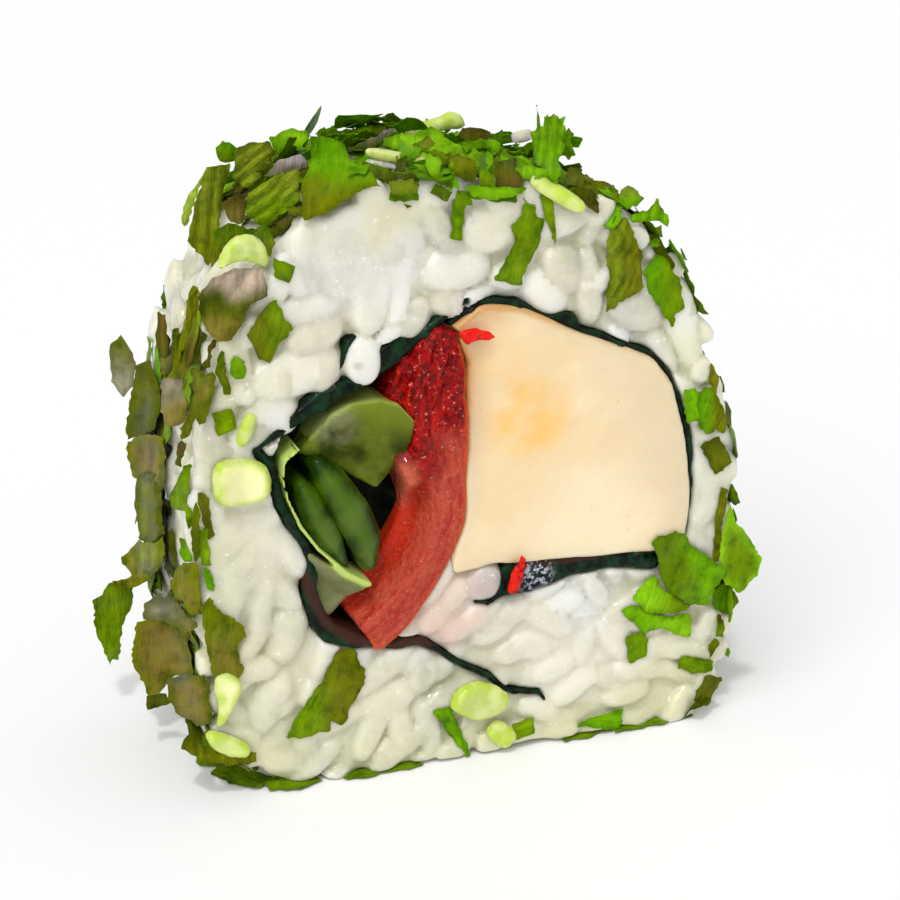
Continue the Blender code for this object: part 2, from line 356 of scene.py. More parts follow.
# ---------------------------------------------------------------- materials
class Look:
    """A Principled material, with short calls for the nodes that feed it."""

    def __init__(self, name, **inputs):
        self.material = bpy.data.materials.new(name)
        self.material.use_nodes = True
        self.tree = self.material.node_tree
        self.shader = self.tree.nodes["Principled BSDF"]
        for key, value in inputs.items():
            self.shader.inputs[key.replace("_", " ")].default_value = value

    def node(self, kind, **settings):
        made = self.tree.nodes.new(kind)
        for key, value in settings.items():
            setattr(made, key, value)
        return made

    def feed(self, socket, value):
        if hasattr(value, "is_output"):
            self.tree.links.new(value, socket)
        else:
            socket.default_value = value

    def stored(self, name, output="Color"):
        return self.node("ShaderNodeAttribute", attribute_name=name).outputs[output]

    def stretched(self, scale):
        """The piece's stored "leaf" places, along, across and deep, stretched by scale."""
        mapping = self.node("ShaderNodeMapping")
        self.feed(mapping.inputs["Vector"], self.stored("leaf", "Vector"))
        mapping.inputs["Scale"].default_value = scale
        return mapping.outputs["Vector"]

    def split(self, colour):
        made = self.node("ShaderNodeSeparateColor")
        self.feed(made.inputs["Color"], colour)
        return [made.outputs[c] for c in ("Red", "Green", "Blue")]

    def noise(self, size, vector=None, detail=3.0, roughness=0.55):
        """Noise with bumps about size millimetres across, or size units of the vector given."""
        made = self.node("ShaderNodeTexNoise")
        made.inputs["Scale"].default_value = 1 / size if vector is not None else 1 / (size * MM)
        made.inputs["Detail"].default_value = detail
        made.inputs["Roughness"].default_value = roughness
        if vector is None:
            vector = self.node("ShaderNodeTexCoord").outputs["Object"]
        self.feed(made.inputs["Vector"], vector)
        return made.outputs["Fac"]

    def ramp(self, value, low, high, from_value=0.0, to_value=1.0):
        made = self.node("ShaderNodeMapRange", interpolation_type="SMOOTHSTEP")
        self.feed(made.inputs["Value"], value)
        for key, number in (
            ("From Min", low), ("From Max", high), ("To Min", from_value), ("To Max", to_value)
        ):
            made.inputs[key].default_value = number
        return made.outputs["Result"]

    def maths(self, operation, a, b):
        made = self.node("ShaderNodeMath", operation=operation)
        self.feed(made.inputs[0], a)
        self.feed(made.inputs[1], b)
        return made.outputs[0]

    def times(self, a, b):
        return self.maths("MULTIPLY", a, b)

    def mix(self, share, a, b, blend="MIX"):
        made = self.node("ShaderNodeMix", data_type="RGBA", blend_type=blend)
        self.feed(made.inputs["Factor"], share)
        self.feed(made.inputs["A"], a if hasattr(a, "is_output") else (*a, 1.0))
        self.feed(made.inputs["B"], b if hasattr(b, "is_output") else (*b, 1.0))
        return made.outputs["Result"]

    def colour(self, value):
        self.feed(self.shader.inputs["Base Color"], value)

    def roughness(self, value):
        self.feed(self.shader.inputs["Roughness"], value)

    def bump(self, height, depth):
        """Relief of depth millimetres from a height of 0 to 1."""
        made = self.node("ShaderNodeBump")
        made.inputs["Distance"].default_value = depth * MM
        made.inputs["Strength"].default_value = 1.0
        self.feed(made.inputs["Height"], height)
        self.tree.links.new(made.outputs["Normal"], self.shader.inputs["Normal"])

    def inner_light(self, weight, radius, scale):
        """Light that enters and leaves nearby, by up to scale millimetres."""
        self.shader.inputs["Subsurface Weight"].default_value = weight
        self.shader.inputs["Subsurface Radius"].default_value = radius
        self.shader.inputs["Subsurface Scale"].default_value = scale * MM


def rice_look():
    look = Look("cooked_rice", Coat_Weight=0.8, Coat_Roughness=0.06, Coat_IOR=1.5, IOR=1.40,
                Specular_IOR_Level=0.2)
    look.inner_light(1.0, (1.0, 0.95, 0.85), 1.7)
    # Channels of tone: the grain's own tone, darkened as painted shade in the creases between grains; a green
    # tint, with painted shade deep in the gaps; the pepper's pink stain; a lilac tint, with painted shade in
    # the pit of one grain.
    tone, green, pink = look.split(look.stored("tone"))
    lilac = look.stored("tone", "Alpha")
    colour = look.mix(tone, (0.50, 0.49, 0.40), (0.84, 0.84, 0.80))
    cloud = look.ramp(look.noise(1.6, detail=3.0), 0.40, 0.65)
    colour = look.mix(look.times(cloud, 0.35), colour, (0.86, 0.84, 0.76))
    warm = look.ramp(look.noise(9.0, detail=1.0), 0.38, 0.58)
    colour = look.mix(look.times(warm, 0.45), colour, (0.80, 0.75, 0.56))
    colour = look.mix(look.times(green, 0.55), colour, (0.62, 0.62, 0.33))
    colour = look.mix(pink, colour, (0.74, 0.54, 0.45))
    colour = look.mix(lilac, colour, (0.42, 0.34, 0.37))
    # Small white flecks are painted glints on the wet rice.
    fleck = look.ramp(look.noise(0.40, detail=2.0), 0.67, 0.74, 0.0, 0.7)
    colour = look.mix(fleck, colour, (0.93, 0.93, 0.90))
    look.colour(colour)
    look.roughness(look.ramp(look.noise(0.9), 0.3, 0.7, 0.25, 0.5))
    look.bump(look.noise(0.9, detail=5.0, roughness=0.62), 0.17)
    return look.material


def herb_look(name, shine):
    """Chopped leaf: the flake's own colour, in patches and veins of lighter and darker copies of it, partly
    the leaf's own mottling and partly painted highlight and shade, with a pale grey painted sheen in patches.
    """
    look = Look(name, Specular_IOR_Level=shine, IOR=1.4)
    look.inner_light(0.2, (0.6, 1.0, 0.1), 0.4)
    own = look.stored("tone")
    painted_sheen = look.stored("tone", "Alpha")
    leaf = look.stored("leaf", "Vector")
    veins = look.noise(1.0, look.stretched((0.35, 2.2, 1.0)), detail=4.0, roughness=0.65)
    patches = look.noise(1.6, leaf, detail=4.0, roughness=0.6)
    deep = look.mix(1.0, own, (0.52, 0.58, 0.40), "MULTIPLY")
    lit = look.mix(1.0, own, (1.36, 1.30, 1.40), "MULTIPLY")
    colour = look.mix(look.ramp(patches, 0.32, 0.52), deep, own)
    colour = look.mix(look.ramp(patches, 0.50, 0.70, 0.0, 0.8), colour, lit)
    colour = look.mix(look.ramp(veins, 0.52, 0.66, 0.0, 0.45), colour, lit)
    colour = look.mix(look.ramp(veins, 0.30, 0.46, 0.55, 0.0), colour, deep)
    grey = look.ramp(look.noise(2.6, leaf, detail=2.0), 0.42, 0.58)
    colour = look.mix(look.times(grey, painted_sheen), colour, (0.25, 0.20, 0.14))
    look.colour(colour)
    look.roughness(look.ramp(patches, 0.3, 0.7, 0.30, 0.50))
    look.bump(look.maths("ADD", veins, patches), 0.28)
    return look.material


def onion_look():
    look = Look("onion_green", Specular_IOR_Level=0.15, Coat_Weight=0.35, Coat_Roughness=0.15, IOR=1.4)
    look.inner_light(0.8, (1.0, 1.0, 0.5), 0.9)
    own = look.stored("tone")
    pale = look.ramp(look.noise(1.4, detail=3.0), 0.4, 0.65, 0.0, 0.5)
    look.colour(look.mix(pale, own, (0.78, 0.80, 0.42)))
    look.roughness(look.ramp(look.noise(0.8), 0.3, 0.7, 0.3, 0.5))
    look.bump(look.noise(0.8, detail=4.0), 0.12)
    return look.material


def cheese_look():
    look = Look("cream_cheese_block", Specular_IOR_Level=0.2, Coat_Weight=0.4, Coat_Roughness=0.2, IOR=1.42)
    look.inner_light(0.6, (1.0, 0.75, 0.45), 1.6)
    # The second channel is painted shade, tinted by the red pepper beside it, along the cheese's left and top
    # edges. Alpha is painted shade, darker towards the right side and along the rim.
    warm, painted_edge_shade, pale = look.split(look.stored("tone"))
    painted_side_and_rim_shade = look.stored("tone", "Alpha")
    cloud = look.noise(4.5, detail=2.0)
    colour = look.mix(look.ramp(cloud, 0.35, 0.7), (0.84, 0.66, 0.40), (0.87, 0.71, 0.46))
    blotch = look.ramp(look.noise(2.8, detail=2.0), 0.3, 0.7, 0.3, 1.0)
    colour = look.mix(look.times(warm, blotch), colour, (0.88, 0.56, 0.18))
    colour = look.mix(look.times(painted_side_and_rim_shade, 0.75), colour, (0.72, 0.60, 0.40))
    colour = look.mix(look.times(painted_edge_shade, 0.8), colour, (0.56, 0.25, 0.05))
    colour = look.mix(look.times(pale, 0.7), colour, (0.90, 0.78, 0.54))
    look.colour(colour)
    look.roughness(look.ramp(look.noise(1.2), 0.3, 0.7, 0.38, 0.55))
    pores = look.ramp(look.noise(0.7, detail=3.0), 0.22, 0.30)
    relief = look.maths("ADD", pores, look.times(look.noise(2.2, detail=5.0), 2.0))
    look.bump(relief, 0.10)
    return look.material


def pepper_look():
    look = Look("red_pepper", Specular_IOR_Level=0.10, Coat_Weight=0.18, Coat_Roughness=0.06, IOR=1.42)
    look.inner_light(0.35, (1.0, 0.15, 0.06), 0.8)
    skin, rib, painted_glint_share = look.split(look.stored("tone"))
    inner = look.ramp(look.split(look.stored("leaf"))[1], -0.4, -1.5)
    smooth_part = look.stored("tone", "Alpha")
    streak = look.noise(1.0, look.stretched((0.4, 1.6, 1.0)), detail=4.0, roughness=0.65)
    pits = look.noise(0.55, detail=4.0, roughness=0.6)
    rough_red = look.mix(look.ramp(pits, 0.36, 0.62), (0.12, 0.000, 0.000), (0.42, 0.001, 0.001))
    rough_red = look.mix(look.ramp(streak, 0.52, 0.7, 0.0, 0.7), rough_red, (0.72, 0.020, 0.008))
    smooth_red = look.mix(look.ramp(streak, 0.30, 0.62), (0.42, 0.022, 0.010), (0.54, 0.075, 0.040))
    smooth_red = look.mix(look.ramp(pits, 0.5, 0.7, 0.0, 0.5), smooth_red, (0.56, 0.14, 0.09))
    smooth_red = look.mix(inner, smooth_red, (0.60, 0.030, 0.006))
    colour = look.mix(smooth_part, rough_red, smooth_red)
    # Pale specks are painted glints on the wet pepper, most on its rough upper part.
    speck = look.ramp(look.noise(0.32, detail=3.0), 0.62, 0.70)
    colour = look.mix(look.times(speck, painted_glint_share), colour, (0.78, 0.26, 0.19))
    colour = look.mix(rib, colour, (0.70, 0.17, 0.09))
    colour = look.mix(skin, colour, (0.75, 0.10, 0.006))
    look.colour(colour)
    look.roughness(look.ramp(streak, 0.3, 0.7, 0.2, 0.42))
    relief = look.maths("ADD", streak, look.times(pits, 2.0))
    look.bump(relief, 0.28)
    return look.material


def nori_look():
    look = Look("nori_sheet", Specular_IOR_Level=0.08, Coat_Weight=0.12, Coat_Roughness=0.12, IOR=1.42)
    fleck = look.noise(0.9, detail=5.0, roughness=0.65)
    colour = look.mix(look.ramp(fleck, 0.4, 0.65), (0.002, 0.004, 0.002), (0.006, 0.034, 0.012))
    brown, speckled, _ = look.split(look.stored("tone"))
    colour = look.mix(look.times(brown, 0.9), colour, (0.050, 0.019, 0.012))
    speck = look.ramp(look.noise(0.5, detail=4.0, roughness=0.7), 0.50, 0.57)
    colour = look.mix(look.times(speckled, speck), colour, (0.42, 0.43, 0.52))
    look.colour(colour)
    look.roughness(look.ramp(fleck, 0.3, 0.7, 0.28, 0.6))
    look.bump(look.noise(0.45, detail=4.0), 0.12)
    return look.material


def leaf_look(name, dark, light, shine, inner=0.3, wet=0.0):
    look = Look(name, Specular_IOR_Level=shine, Coat_Weight=wet, Coat_Roughness=0.1, IOR=1.42)
    look.inner_light(inner, (0.5, 1.0, 0.1), 0.8)
    # Channels of tone: lit paints light, on the folded leaf's upper part and the strips' middles; grey is
    # painted sheen on the folded leaf and a grey tint on the round leaf and the strips' lower ends; edge is
    # the pale cut edge.
    lit, grey, edge = look.split(look.stored("tone"))
    cloud = look.noise(2.4, detail=3.0)
    colour = look.mix(look.ramp(cloud, 0.35, 0.7, 0.0, 0.7), dark, light)
    colour = look.mix(lit, colour, light)
    colour = look.mix(look.times(grey, look.ramp(cloud, 0.3, 0.6)), colour, (0.22, 0.20, 0.13))
    colour = look.mix(edge, colour, (0.52, 0.66, 0.16))
    look.colour(colour)
    look.roughness(look.ramp(look.noise(1.0), 0.3, 0.7, 0.22, 0.42))
    look.bump(look.noise(0.6, detail=4.0), 0.10)
    return look.material


# ---------------------------------------------------------------- rice
OUTER_LOOP = face_loops("rice")[0]
CHEESE_LOOPS = face_loops("cheese_block")
PEPPER_LOOPS = face_loops("pepper_strip")
LEAF_ROOM = ((-16.2, 27.6), (-15.2, 29.4), (-12.6, 31.0), (-9.0, 32.4), (-6.4, 33.6), (-3.6, 35.0),
             (-3.4, 20.0), (-7.0, 13.6), (-9.2, 12.4), (-11.8, 13.4), (-13.0, 16.0), (-13.4, 19.4),
             (-15.4, 23.6))
NORI_LINES = (  # the sheet's edge on the cut face: x, z, half its thickness
    ((-17.5, 28.5, 0.35), (-16.3, 27.0, 0.40), (-16.0, 25.4, 0.45), (-15.6, 23.8, 0.45), (-14.7, 21.9, 0.40),
     (-13.8, 20.3, 0.40), (-13.4, 18.6, 0.45), (-13.6, 16.4, 0.65), (-13.0, 14.2, 0.80),
     (-11.9, 12.7, 0.80), (-10.2, 11.9, 0.65), (-8.2, 11.3, 0.45), (-4.6, 10.9, 0.40), (-2.8, 9.6, 0.22),
     (-1.0, 8.1, 0.20), (1.2, 6.9, 0.20), (2.4, 5.5, 0.20), (4.2, 4.9, 0.20), (5.6, 4.6, 0.18),
     (6.0, 4.0, 0.15)),
    ((-17.5, 28.5, 0.30), (-15.6, 29.6, 0.45), (-12.4, 31.7, 0.75), (-9.6, 32.9, 0.65), (-7.0, 34.6, 1.00),
     (-4.4, 36.0, 0.50), (-2.4, 37.3, 0.35), (-0.8, 38.3, 0.22)),
    ((15.4, 14.7, 0.62), (13.0, 15.2, 0.70), (11.7, 15.4, 0.65), (10.0, 15.4, 0.78), (8.0, 15.4, 0.87),
     (6.0, 15.2, 1.22), (4.6, 15.15, 1.38), (3.2, 15.15, 1.50), (2.4, 14.4, 0.80), (1.4, 13.5, 0.25),
     (0.0, 13.55, 0.14)),
    ((-11.6, 32.4, 0.20), (-10.7, 34.2, 0.15), (-10.1, 35.8, 0.42), (-9.6, 36.2, 0.25)),
)
BROWN_LINE = (  # where the nori's edge is brown: x, z, half width
    (-14.0, 18.0, 0.3), (-13.3, 16.0, 0.4), (-12.2, 13.9, 0.5), (-10.5, 12.4, 0.45), (-8.0, 11.2, 0.45),
    (-4.0, 10.9, 0.4),
)
CHEESE_FOOT = (-1.6, 1.6, 15.0), (16.5, 16.85, 15.9)  # x, then z of the cheese's lower side
NORI_ROUND_CHEESE = 0.22  # half its thickness where it lies against the cheese
NORI_SWELLS = (  # where it shows wider there: x, z, radius, by how much
    (7.6, 36.9, 2.0, 0.55),
    (17.9, 25.0, 2.6, 0.35),
    (2.4, 38.9, 2.6, 0.12),
)


def capsule_flat(line, x, z):
    """Distance to a band drawn as (x, z, half width), negative inside, and how far along it."""
    best = np.full(np.broadcast(x, z).shape, 1e9)
    along = np.zeros(best.shape)
    for i, ((ax, az, ar), (bx, bz, br)) in enumerate(zip(line, line[1:])):
        dx, dz = bx - ax, bz - az
        t = np.clip(((x - ax) * dx + (z - az) * dz) / (dx * dx + dz * dz), 0, 1)
        gap = np.hypot(x - ax - t * dx, z - az - t * dz) - (ar + (br - ar) * t)
        along = np.where(gap < best, i + t, along)
        best = np.minimum(best, gap)
    return best, along / (len(line) - 1)


def cheese_distance(x, z):
    """Distance to the cheese's edge, with its lower side raised where the nori is pinched under it."""
    return soft_max(outline_distance(CHEESE_LOOPS, x, z), np.interp(x, *CHEESE_FOOT) - z, 0.3)


def nori_distance(x, z):
    """Distance to the nori's edge in the plane of the cut, negative inside it."""
    half = NORI_ROUND_CHEESE + 0.07 * ripple(x, 0, z, 1.3)
    for sx, sz, radius, extra in NORI_SWELLS:
        half = half + extra / 2 * near(x, z, (sx, sz, radius))
    shell = np.abs(cheese_distance(x, z) - half) - half
    shell = np.where((x < 2.6) & (z < 20), 9.0, shell)
    shell = np.maximum(shell, 0.3 - outline_distance(PEPPER_LOOPS, x, z) - 9 * (x > 0))
    lines = [capsule_flat(line, x, z)[0] for line in NORI_LINES]
    return np.minimum.reduce([shell, *lines])


def room_distance(x, z):
    """Distance to the fillings and the nori round them, negative inside."""
    solid = [outline_distance(loops, x, z) for loops in (PEPPER_LOOPS, [np.array(LEAF_ROOM)])]
    return np.minimum.reduce([*solid, cheese_distance(x, z), nori_distance(x, z)])


def turned(axis_x, axis_hint):
    """Rows are three directions at right angles, the first along axis_x."""
    first = np.array(axis_x, float) / np.linalg.norm(axis_x)
    second = np.array(axis_hint, float) - first * np.dot(axis_hint, first)
    second /= np.linalg.norm(second)
    return np.array([first, second, np.cross(first, second)])


def grain_size():
    width = rng.uniform(*GRAIN_WIDTH)
    return np.array([rng.uniform(*GRAIN_LENGTH), width, width * rng.uniform(*GRAIN_FLATNESS)]) / 2


def scattered(low, high, allowed, spacing, taken=(), tries=6000):
    """Points in a box, at least spacing apart and from those taken, wherever allowed says so."""
    kept = [np.array(p) for p in taken]
    start = len(kept)
    for point in rng.uniform(low, high, (tries, len(low))):
        if kept and (np.linalg.norm(np.array(kept) - point, axis=1) < spacing).any():
            continue
        if allowed(point):
            kept.append(point)
    return kept[start:]


def loop_walk(loop):
    """A function from distance along a closed outline to its point and its outward direction."""
    steps = np.roll(loop, -1, 0) - loop
    lengths = np.hypot(*steps.T)
    ends = np.concatenate([[0], np.cumsum(lengths)])
    area = (loop[:, 0] * np.roll(loop[:, 1], -1) - loop[:, 1] * np.roll(loop[:, 0], -1)).sum()
    turn = 1 if area > 0 else -1

    def at(distance):
        distance = distance % ends[-1]
        i = min(np.searchsorted(ends, distance, side="right") - 1, len(loop) - 1)
        share = (distance - ends[i]) / max(lengths[i], 1e-9)
        ahead = steps[i] / max(lengths[i], 1e-9)
        return loop[i] + steps[i] * share, np.array([ahead[1], -ahead[0]]) * turn

    return at, ends[-1]


def lay_grains():
    """The grains on both cut faces and on the rolled side, and whether the nori's room trims each."""
    plane = Grid((-26, 0, -3), (26, 0.1, 52), (0.25, 1, 0.25))
    room = room_distance(plane.flat_x, plane.flat_z)
    rice_depth = np.minimum(-plane.in_plane([OUTER_LOOP])[:, 0, :], room)

    def depth_at(point):
        i = int(round((point[0] - plane.low[0]) / plane.step[0]))
        j = int(round((point[1] - plane.low[2]) / plane.step[2]))
        return rice_depth[min(max(i, 0), plane.shape[0] - 1), min(max(j, 0), plane.shape[2] - 1)]

    grains = []

    def add(middle, frame_rows, size, free=False):
        grains.append((np.array(middle, float), frame_rows, size, free))

    for side in (-1, 1):
        taken = []
        for x, z, degrees, length, width, proud in LOBES:
            turn = math.radians(degrees)
            size = np.array([length, width, min(width, 3.0)]) / 2
            out = HALF_SLICE + proud - 0.15 - size[2]
            add((x, side * out, z), turned((math.cos(turn), 0, math.sin(turn)), (0, 0.3, 1)), size, True)
            for share in (-0.28, 0.28) if length > 4.4 else (0.0,):
                taken.append((x + math.cos(turn) * length * share, z + math.sin(turn) * length * share))
        surface = scattered(*FACE_BOX, lambda p: depth_at(p) > 0.1, GRAIN_SPACING, taken)
        for point in surface:
            size = grain_size()
            angle = 3.0 * float(ripple(point[0], side, point[1], 9.0)) + rng.normal(0, 0.6)
            steep = abs(rng.normal(0, 0.35))
            along = (math.cos(angle), steep, math.sin(angle))
            rise = size[2] + (size[0] - size[2]) * steep / (1 + steep)
            out = HALF_SLICE + rng.uniform(-0.30, 0.25) - rise * 0.9
            add((point[0], side * out, point[1]), turned(along, (0, 1, 0.2)), size)
    middle, direction, size = STRAY_GRAIN
    add(middle, turned(direction, (0, 1, 0.2)), np.array(size), True)
    outline, outline_length = loop_walk(OUTER_LOOP)
    reach = HALF_SLICE - 1.3
    for distance, y in scattered(
        (0, -reach), (outline_length, reach), lambda p: True, GRAIN_SPACING, tries=9000
    ):
        point, outward = outline(distance)
        size = grain_size()
        angle = rng.uniform(0, math.pi)
        middle = point + outward * (RIM_INSET - GRAIN_DEPTH - rng.uniform(-0.15, 0.25))
        along = (outward[1] * math.cos(angle), math.sin(angle), -outward[0] * math.cos(angle))
        lean = rng.normal(0, 0.12)
        along = (along[0] + outward[0] * lean, along[1], along[2] + outward[1] * lean)
        add((middle[0], y, middle[1]), turned(along, (-outward[1], 0.3, outward[0])), size)
    return grains


def smear_at(x, z):
    total = 0.0
    for spot in SMEARS:
        total = np.maximum(total, spot[3] * near(x, z, spot))
    return total


def warp_of(grid, shift):
    """How far the grains are bent out of true along one axis."""
    warp = 0.12 * ripple(grid.x + shift, grid.y, grid.z, 2.6)
    return (warp + 0.07 * ripple(grid.x, grid.y, grid.z + shift, 1.0)).astype(np.float32)


def rice_slab(grains, y_from, y_to, step):
    """The field of the grains whose middles lie in one slab of the roll, with the core behind them."""
    inside = [g for g in grains if y_from <= g[0][1] < y_to]
    low_y = max(min(g[0][1] for g in inside) - GRAIN_REACH, -HALF_SLICE - 1.8)
    high_y = min(max(g[0][1] for g in inside) + GRAIN_REACH, HALF_SLICE + 1.8)
    grid = Grid((-25.2, low_y, -0.9), (25.2, high_y, 50.6), step)
    smear = smear_at(grid.x, grid.z) * np.ones(grid.shape)  # at every point, as it is cut to each grain
    join = (JOIN + (SMEARED_JOIN - JOIN) * smear).astype(np.float32)
    total = np.zeros(grid.shape, np.float32)
    total_free = np.zeros(grid.shape, np.float32)
    nearest = np.full(grid.shape, 9.0, np.float32)
    second = np.full(grid.shape, 9.0, np.float32)
    owner = np.zeros(grid.shape, np.int16)
    warps = [warp_of(grid, shift) for shift in WARP_SHIFTS]
    for number, (middle, rows, size, free) in enumerate(inside):
        window = grid.window(middle, size[0] + 0.9)
        px, py, pz = (
            (a[window[i]] - middle[i]).astype(np.float32).reshape([-1 if j == i else 1 for j in range(3)])
            for i, a in enumerate(grid.axes)
        )
        px, py, pz = (p + warp[window] for p, warp in zip((px, py, pz), warps))
        local = [px * r[0] + py * r[1] + pz * r[2] for r in rows]
        ratio = sum(np.abs(q / s) ** GRAIN_POWER for q, s in zip(local, size)) ** (1 / GRAIN_POWER) + 1e-4
        away = np.sqrt(sum(q * q for q in local)) * (1 - 1 / ratio)
        (total_free if free else total)[window] += np.exp(np.clip(-away / join[window], -30, 30))
        closer = away < nearest[window]
        second[window] = np.minimum(second[window], np.maximum(away, nearest[window]))
        nearest[window][closer] = away[closer]
        owner[window][closer] = number
    field = -join * np.log(np.maximum(total, 1e-9))
    lobes = -join * np.log(np.maximum(total_free, 1e-9))
    outer = grid.in_plane([OUTER_LOOP]) - RIM_INSET
    room = room_distance(grid.flat_x, grid.flat_z)[:, None, :]
    lumps = ripple(grid.x, grid.y, grid.z, 2.3)
    shown = np.abs(grid.y) - (HALF_SLICE - CORE_DEPTH + smear * (CORE_DEPTH - 0.1))
    core = soft_max(outer + CORE_DEPTH, shown, 0.8) + 0.15 * lumps
    lower = np.maximum(grid.y - (y_to + 0.4), (y_from - 0.4) - grid.y)
    field = soft_min(field, np.maximum(core, lower), 0.3)
    field = soft_max(field, 0.05 - room, 0.2)
    pit = np.hypot(grid.x - GRAIN_DIMPLE[0], grid.z - GRAIN_DIMPLE[1]) / GRAIN_DIMPLE[2]
    lobes = lobes + 0.45 * np.exp(-(pit**2)) * (grid.y < 0)
    field = soft_min(field, lobes, 0.12 + 0.2 * smear)
    cut = HALF_SLICE + 0.12 - 0.15 * smear + 0.30 * ripple(grid.x, grid.y * 0, grid.z, 6.0)
    field = soft_max(field, np.abs(grid.y) - cut, 0.35 - 0.2 * smear)
    field = soft_max(field, outer - 0.5, 0.3)
    field = soft_max(field, 0.25 + 0.3 * ripple(grid.x, grid.y, 0, 2.6) - grid.z, 0.3)
    return grid, field.astype(np.float32), owner, second - nearest


def make_rice():
    grains = lay_grains()
    print(f"{len(grains)} grains")
    look = rice_look()
    tones = rng.uniform(0, 1, 20000)
    made = []
    for name, y_from, y_to, step in RICE_SLABS:
        grid, field, owner, apart = rice_slab(grains, y_from, y_to, step)
        points, faces = surface_net(field, grid)
        at = np.clip(((points - grid.low) / grid.step).round().astype(int), 0, np.array(grid.shape) - 1)
        own = owner[at[:, 0], at[:, 1], at[:, 2]]
        x, y, z = points.T
        colours = np.zeros((len(points), 4))
        smear = smear_at(x, z)
        # Where two grains meet the rice is painted darker, as shade in the crease, less where the knife has
        # smeared it.
        painted_crease_shade = 1 - smoothstep(0.0, 0.30, apart[at[:, 0], at[:, 1], at[:, 2]])
        colours[:, 0] = (tones[own] * (1 - 0.6 * smear) + 0.4 * smear) * (1 - 0.6 * painted_crease_shade * (1 - smear))
        colours[:, 0] *= 1 - 0.5 * smoothstep(27.0, 13.0, z) * (1 - near(x, z, PALE_PATCH))
        edge = outline_distance([OUTER_LOOP], x, z)
        green = smoothstep(-6.0, -0.5, edge) * (0.55 + 0.5 * ripple(x, y, z, 3.0))
        green = green + 0.35 * smoothstep(12.0, 4.0, z)
        for spot in GREEN_PATCHES:
            green = green + spot[3] * near(x, z, spot)
        # Rice deep below the surface, in the gaps between grains, is painted darker and greener as shade.
        painted_recess_shade = smoothstep(0.35, 1.0, np.minimum(HALF_SLICE - np.abs(y), RIM_INSET - edge))
        colours[:, 1] = np.clip(green + 0.8 * painted_recess_shade, 0, 1)
        colours[:, 2] = near(x, z, PINK_STAIN) * (0.70 + 0.35 * ripple(x, y, z, 1.5))
        # The lilac channel also paints the pit of the end-on grain darker, as shade in the pit.
        colours[:, 3] = 0.55 * near(x, z, LILAC_STAIN) + 0.5 * near(x, z, GRAIN_DIMPLE) * (y < 0)
        made.append(piece(name, points, faces, look, ("rice",), colours))
    return made


# ---------------------------------------------------------------- fillings
def through_slice(grid, flat, half, rounding, wobble=0.0, size=3.0):
    """The mesh of a solid with one outline all along the roll, ending at half(x, z) on both sides."""
    flat, half = (a[:, None, :] if np.ndim(a) == 2 else a for a in (flat, half))
    side = flat + (wobble * ripple(grid.x, grid.y, grid.z, size) if wobble else 0.0)
    return surface_net(soft_max(side, np.abs(grid.y) - half, rounding), grid)


def box_of(node, margin=1.2):
    low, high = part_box(node)
    return np.array(low) / MM - margin, np.array(high) / MM + margin


def make_cheese():
    low, high = box_of("cheese_block")
    grid = Grid(low, high, (0.26, 0.38, 0.26))
    flat = cheese_distance(grid.flat_x, grid.flat_z)[:, None, :] - 0.15
    flat = flat + 0.08 * ripple(grid.x, 0, grid.z, 1.6)
    half = HALF_SLICE + 0.15 + 0.14 * ripple(grid.x, 0, grid.z, 6.0) + 0.07 * ripple(grid.x, 0, grid.z, 1.8)
    points, faces = through_slice(grid, flat, half, 0.35, 0.12, 5.0)
    x, _, z = points.T
    colours = np.zeros((len(points), 4))
    colours[:, 0] = near(x, z, (4.2, 28.6, 4.6)) + 0.35 * near(x, z, (2.0, 33.5, 3.0))
    rim = cheese_distance(x, z)
    # Painted shade, tinted amber by the pepper beside it, along the left edge and the top edge.
    painted_left_edge_shade = smoothstep(-2.4, -0.1, rim) * smoothstep(3.4, 1.2, x)
    top = smoothstep(-0.5, 0.05, rim) * (z > 30) * (0.4 + 0.6 * near(x, z, (2.0, 37.0, 7.0)))
    colours[:, 1] = 0.55 * painted_left_edge_shade * smoothstep(20, 34, z) + top
    colours[:, 2] = near(x, z, (10.0, 19.0, 7.0))
    # Painted shade: darker towards the right side and along the rim.
    colours[:, 3] = smoothstep(9.0, 16.5, x + 0.3 * (z - 26)) + 0.6 * smoothstep(-1.5, 0.0, rim)
    piece("cheese", points, faces, cheese_look(), ("cheese_block",), np.clip(colours, 0, 1))


PEPPER_LINE = ((-2.3, 36.2), (-3.2, 34.5), (-3.9, 31.4), (-3.8, 27.6), (-3.3, 24.2), (-3.3, 21.4),
               (-4.4, 18.5), (-6.1, 16.0), (-7.9, 14.1), (-9.6, 12.9))


def along_line(line, x, z):
    """How far along a line of (x, z) each point is, and how far to its right, in millimetres."""
    line = np.array(line, float)
    best = np.full(np.broadcast(x, z).shape, 1e9)
    along, across = np.zeros(best.shape), np.zeros(best.shape)
    done = 0.0
    for (ax, az), (bx, bz) in zip(line, line[1:]):
        dx, dz = bx - ax, bz - az
        length = math.hypot(dx, dz)
        t = np.clip(((x - ax) * dx + (z - az) * dz) / length**2, 0, 1)
        gap = np.hypot(x - ax - t * dx, z - az - t * dz)
        side = ((z - az) * dx - (x - ax) * dz) / length
        closer = gap < best
        best = np.where(closer, gap, best)
        along = np.where(closer, done + t * length, along)
        across = np.where(closer, side, across)
        done += length
    return along, across


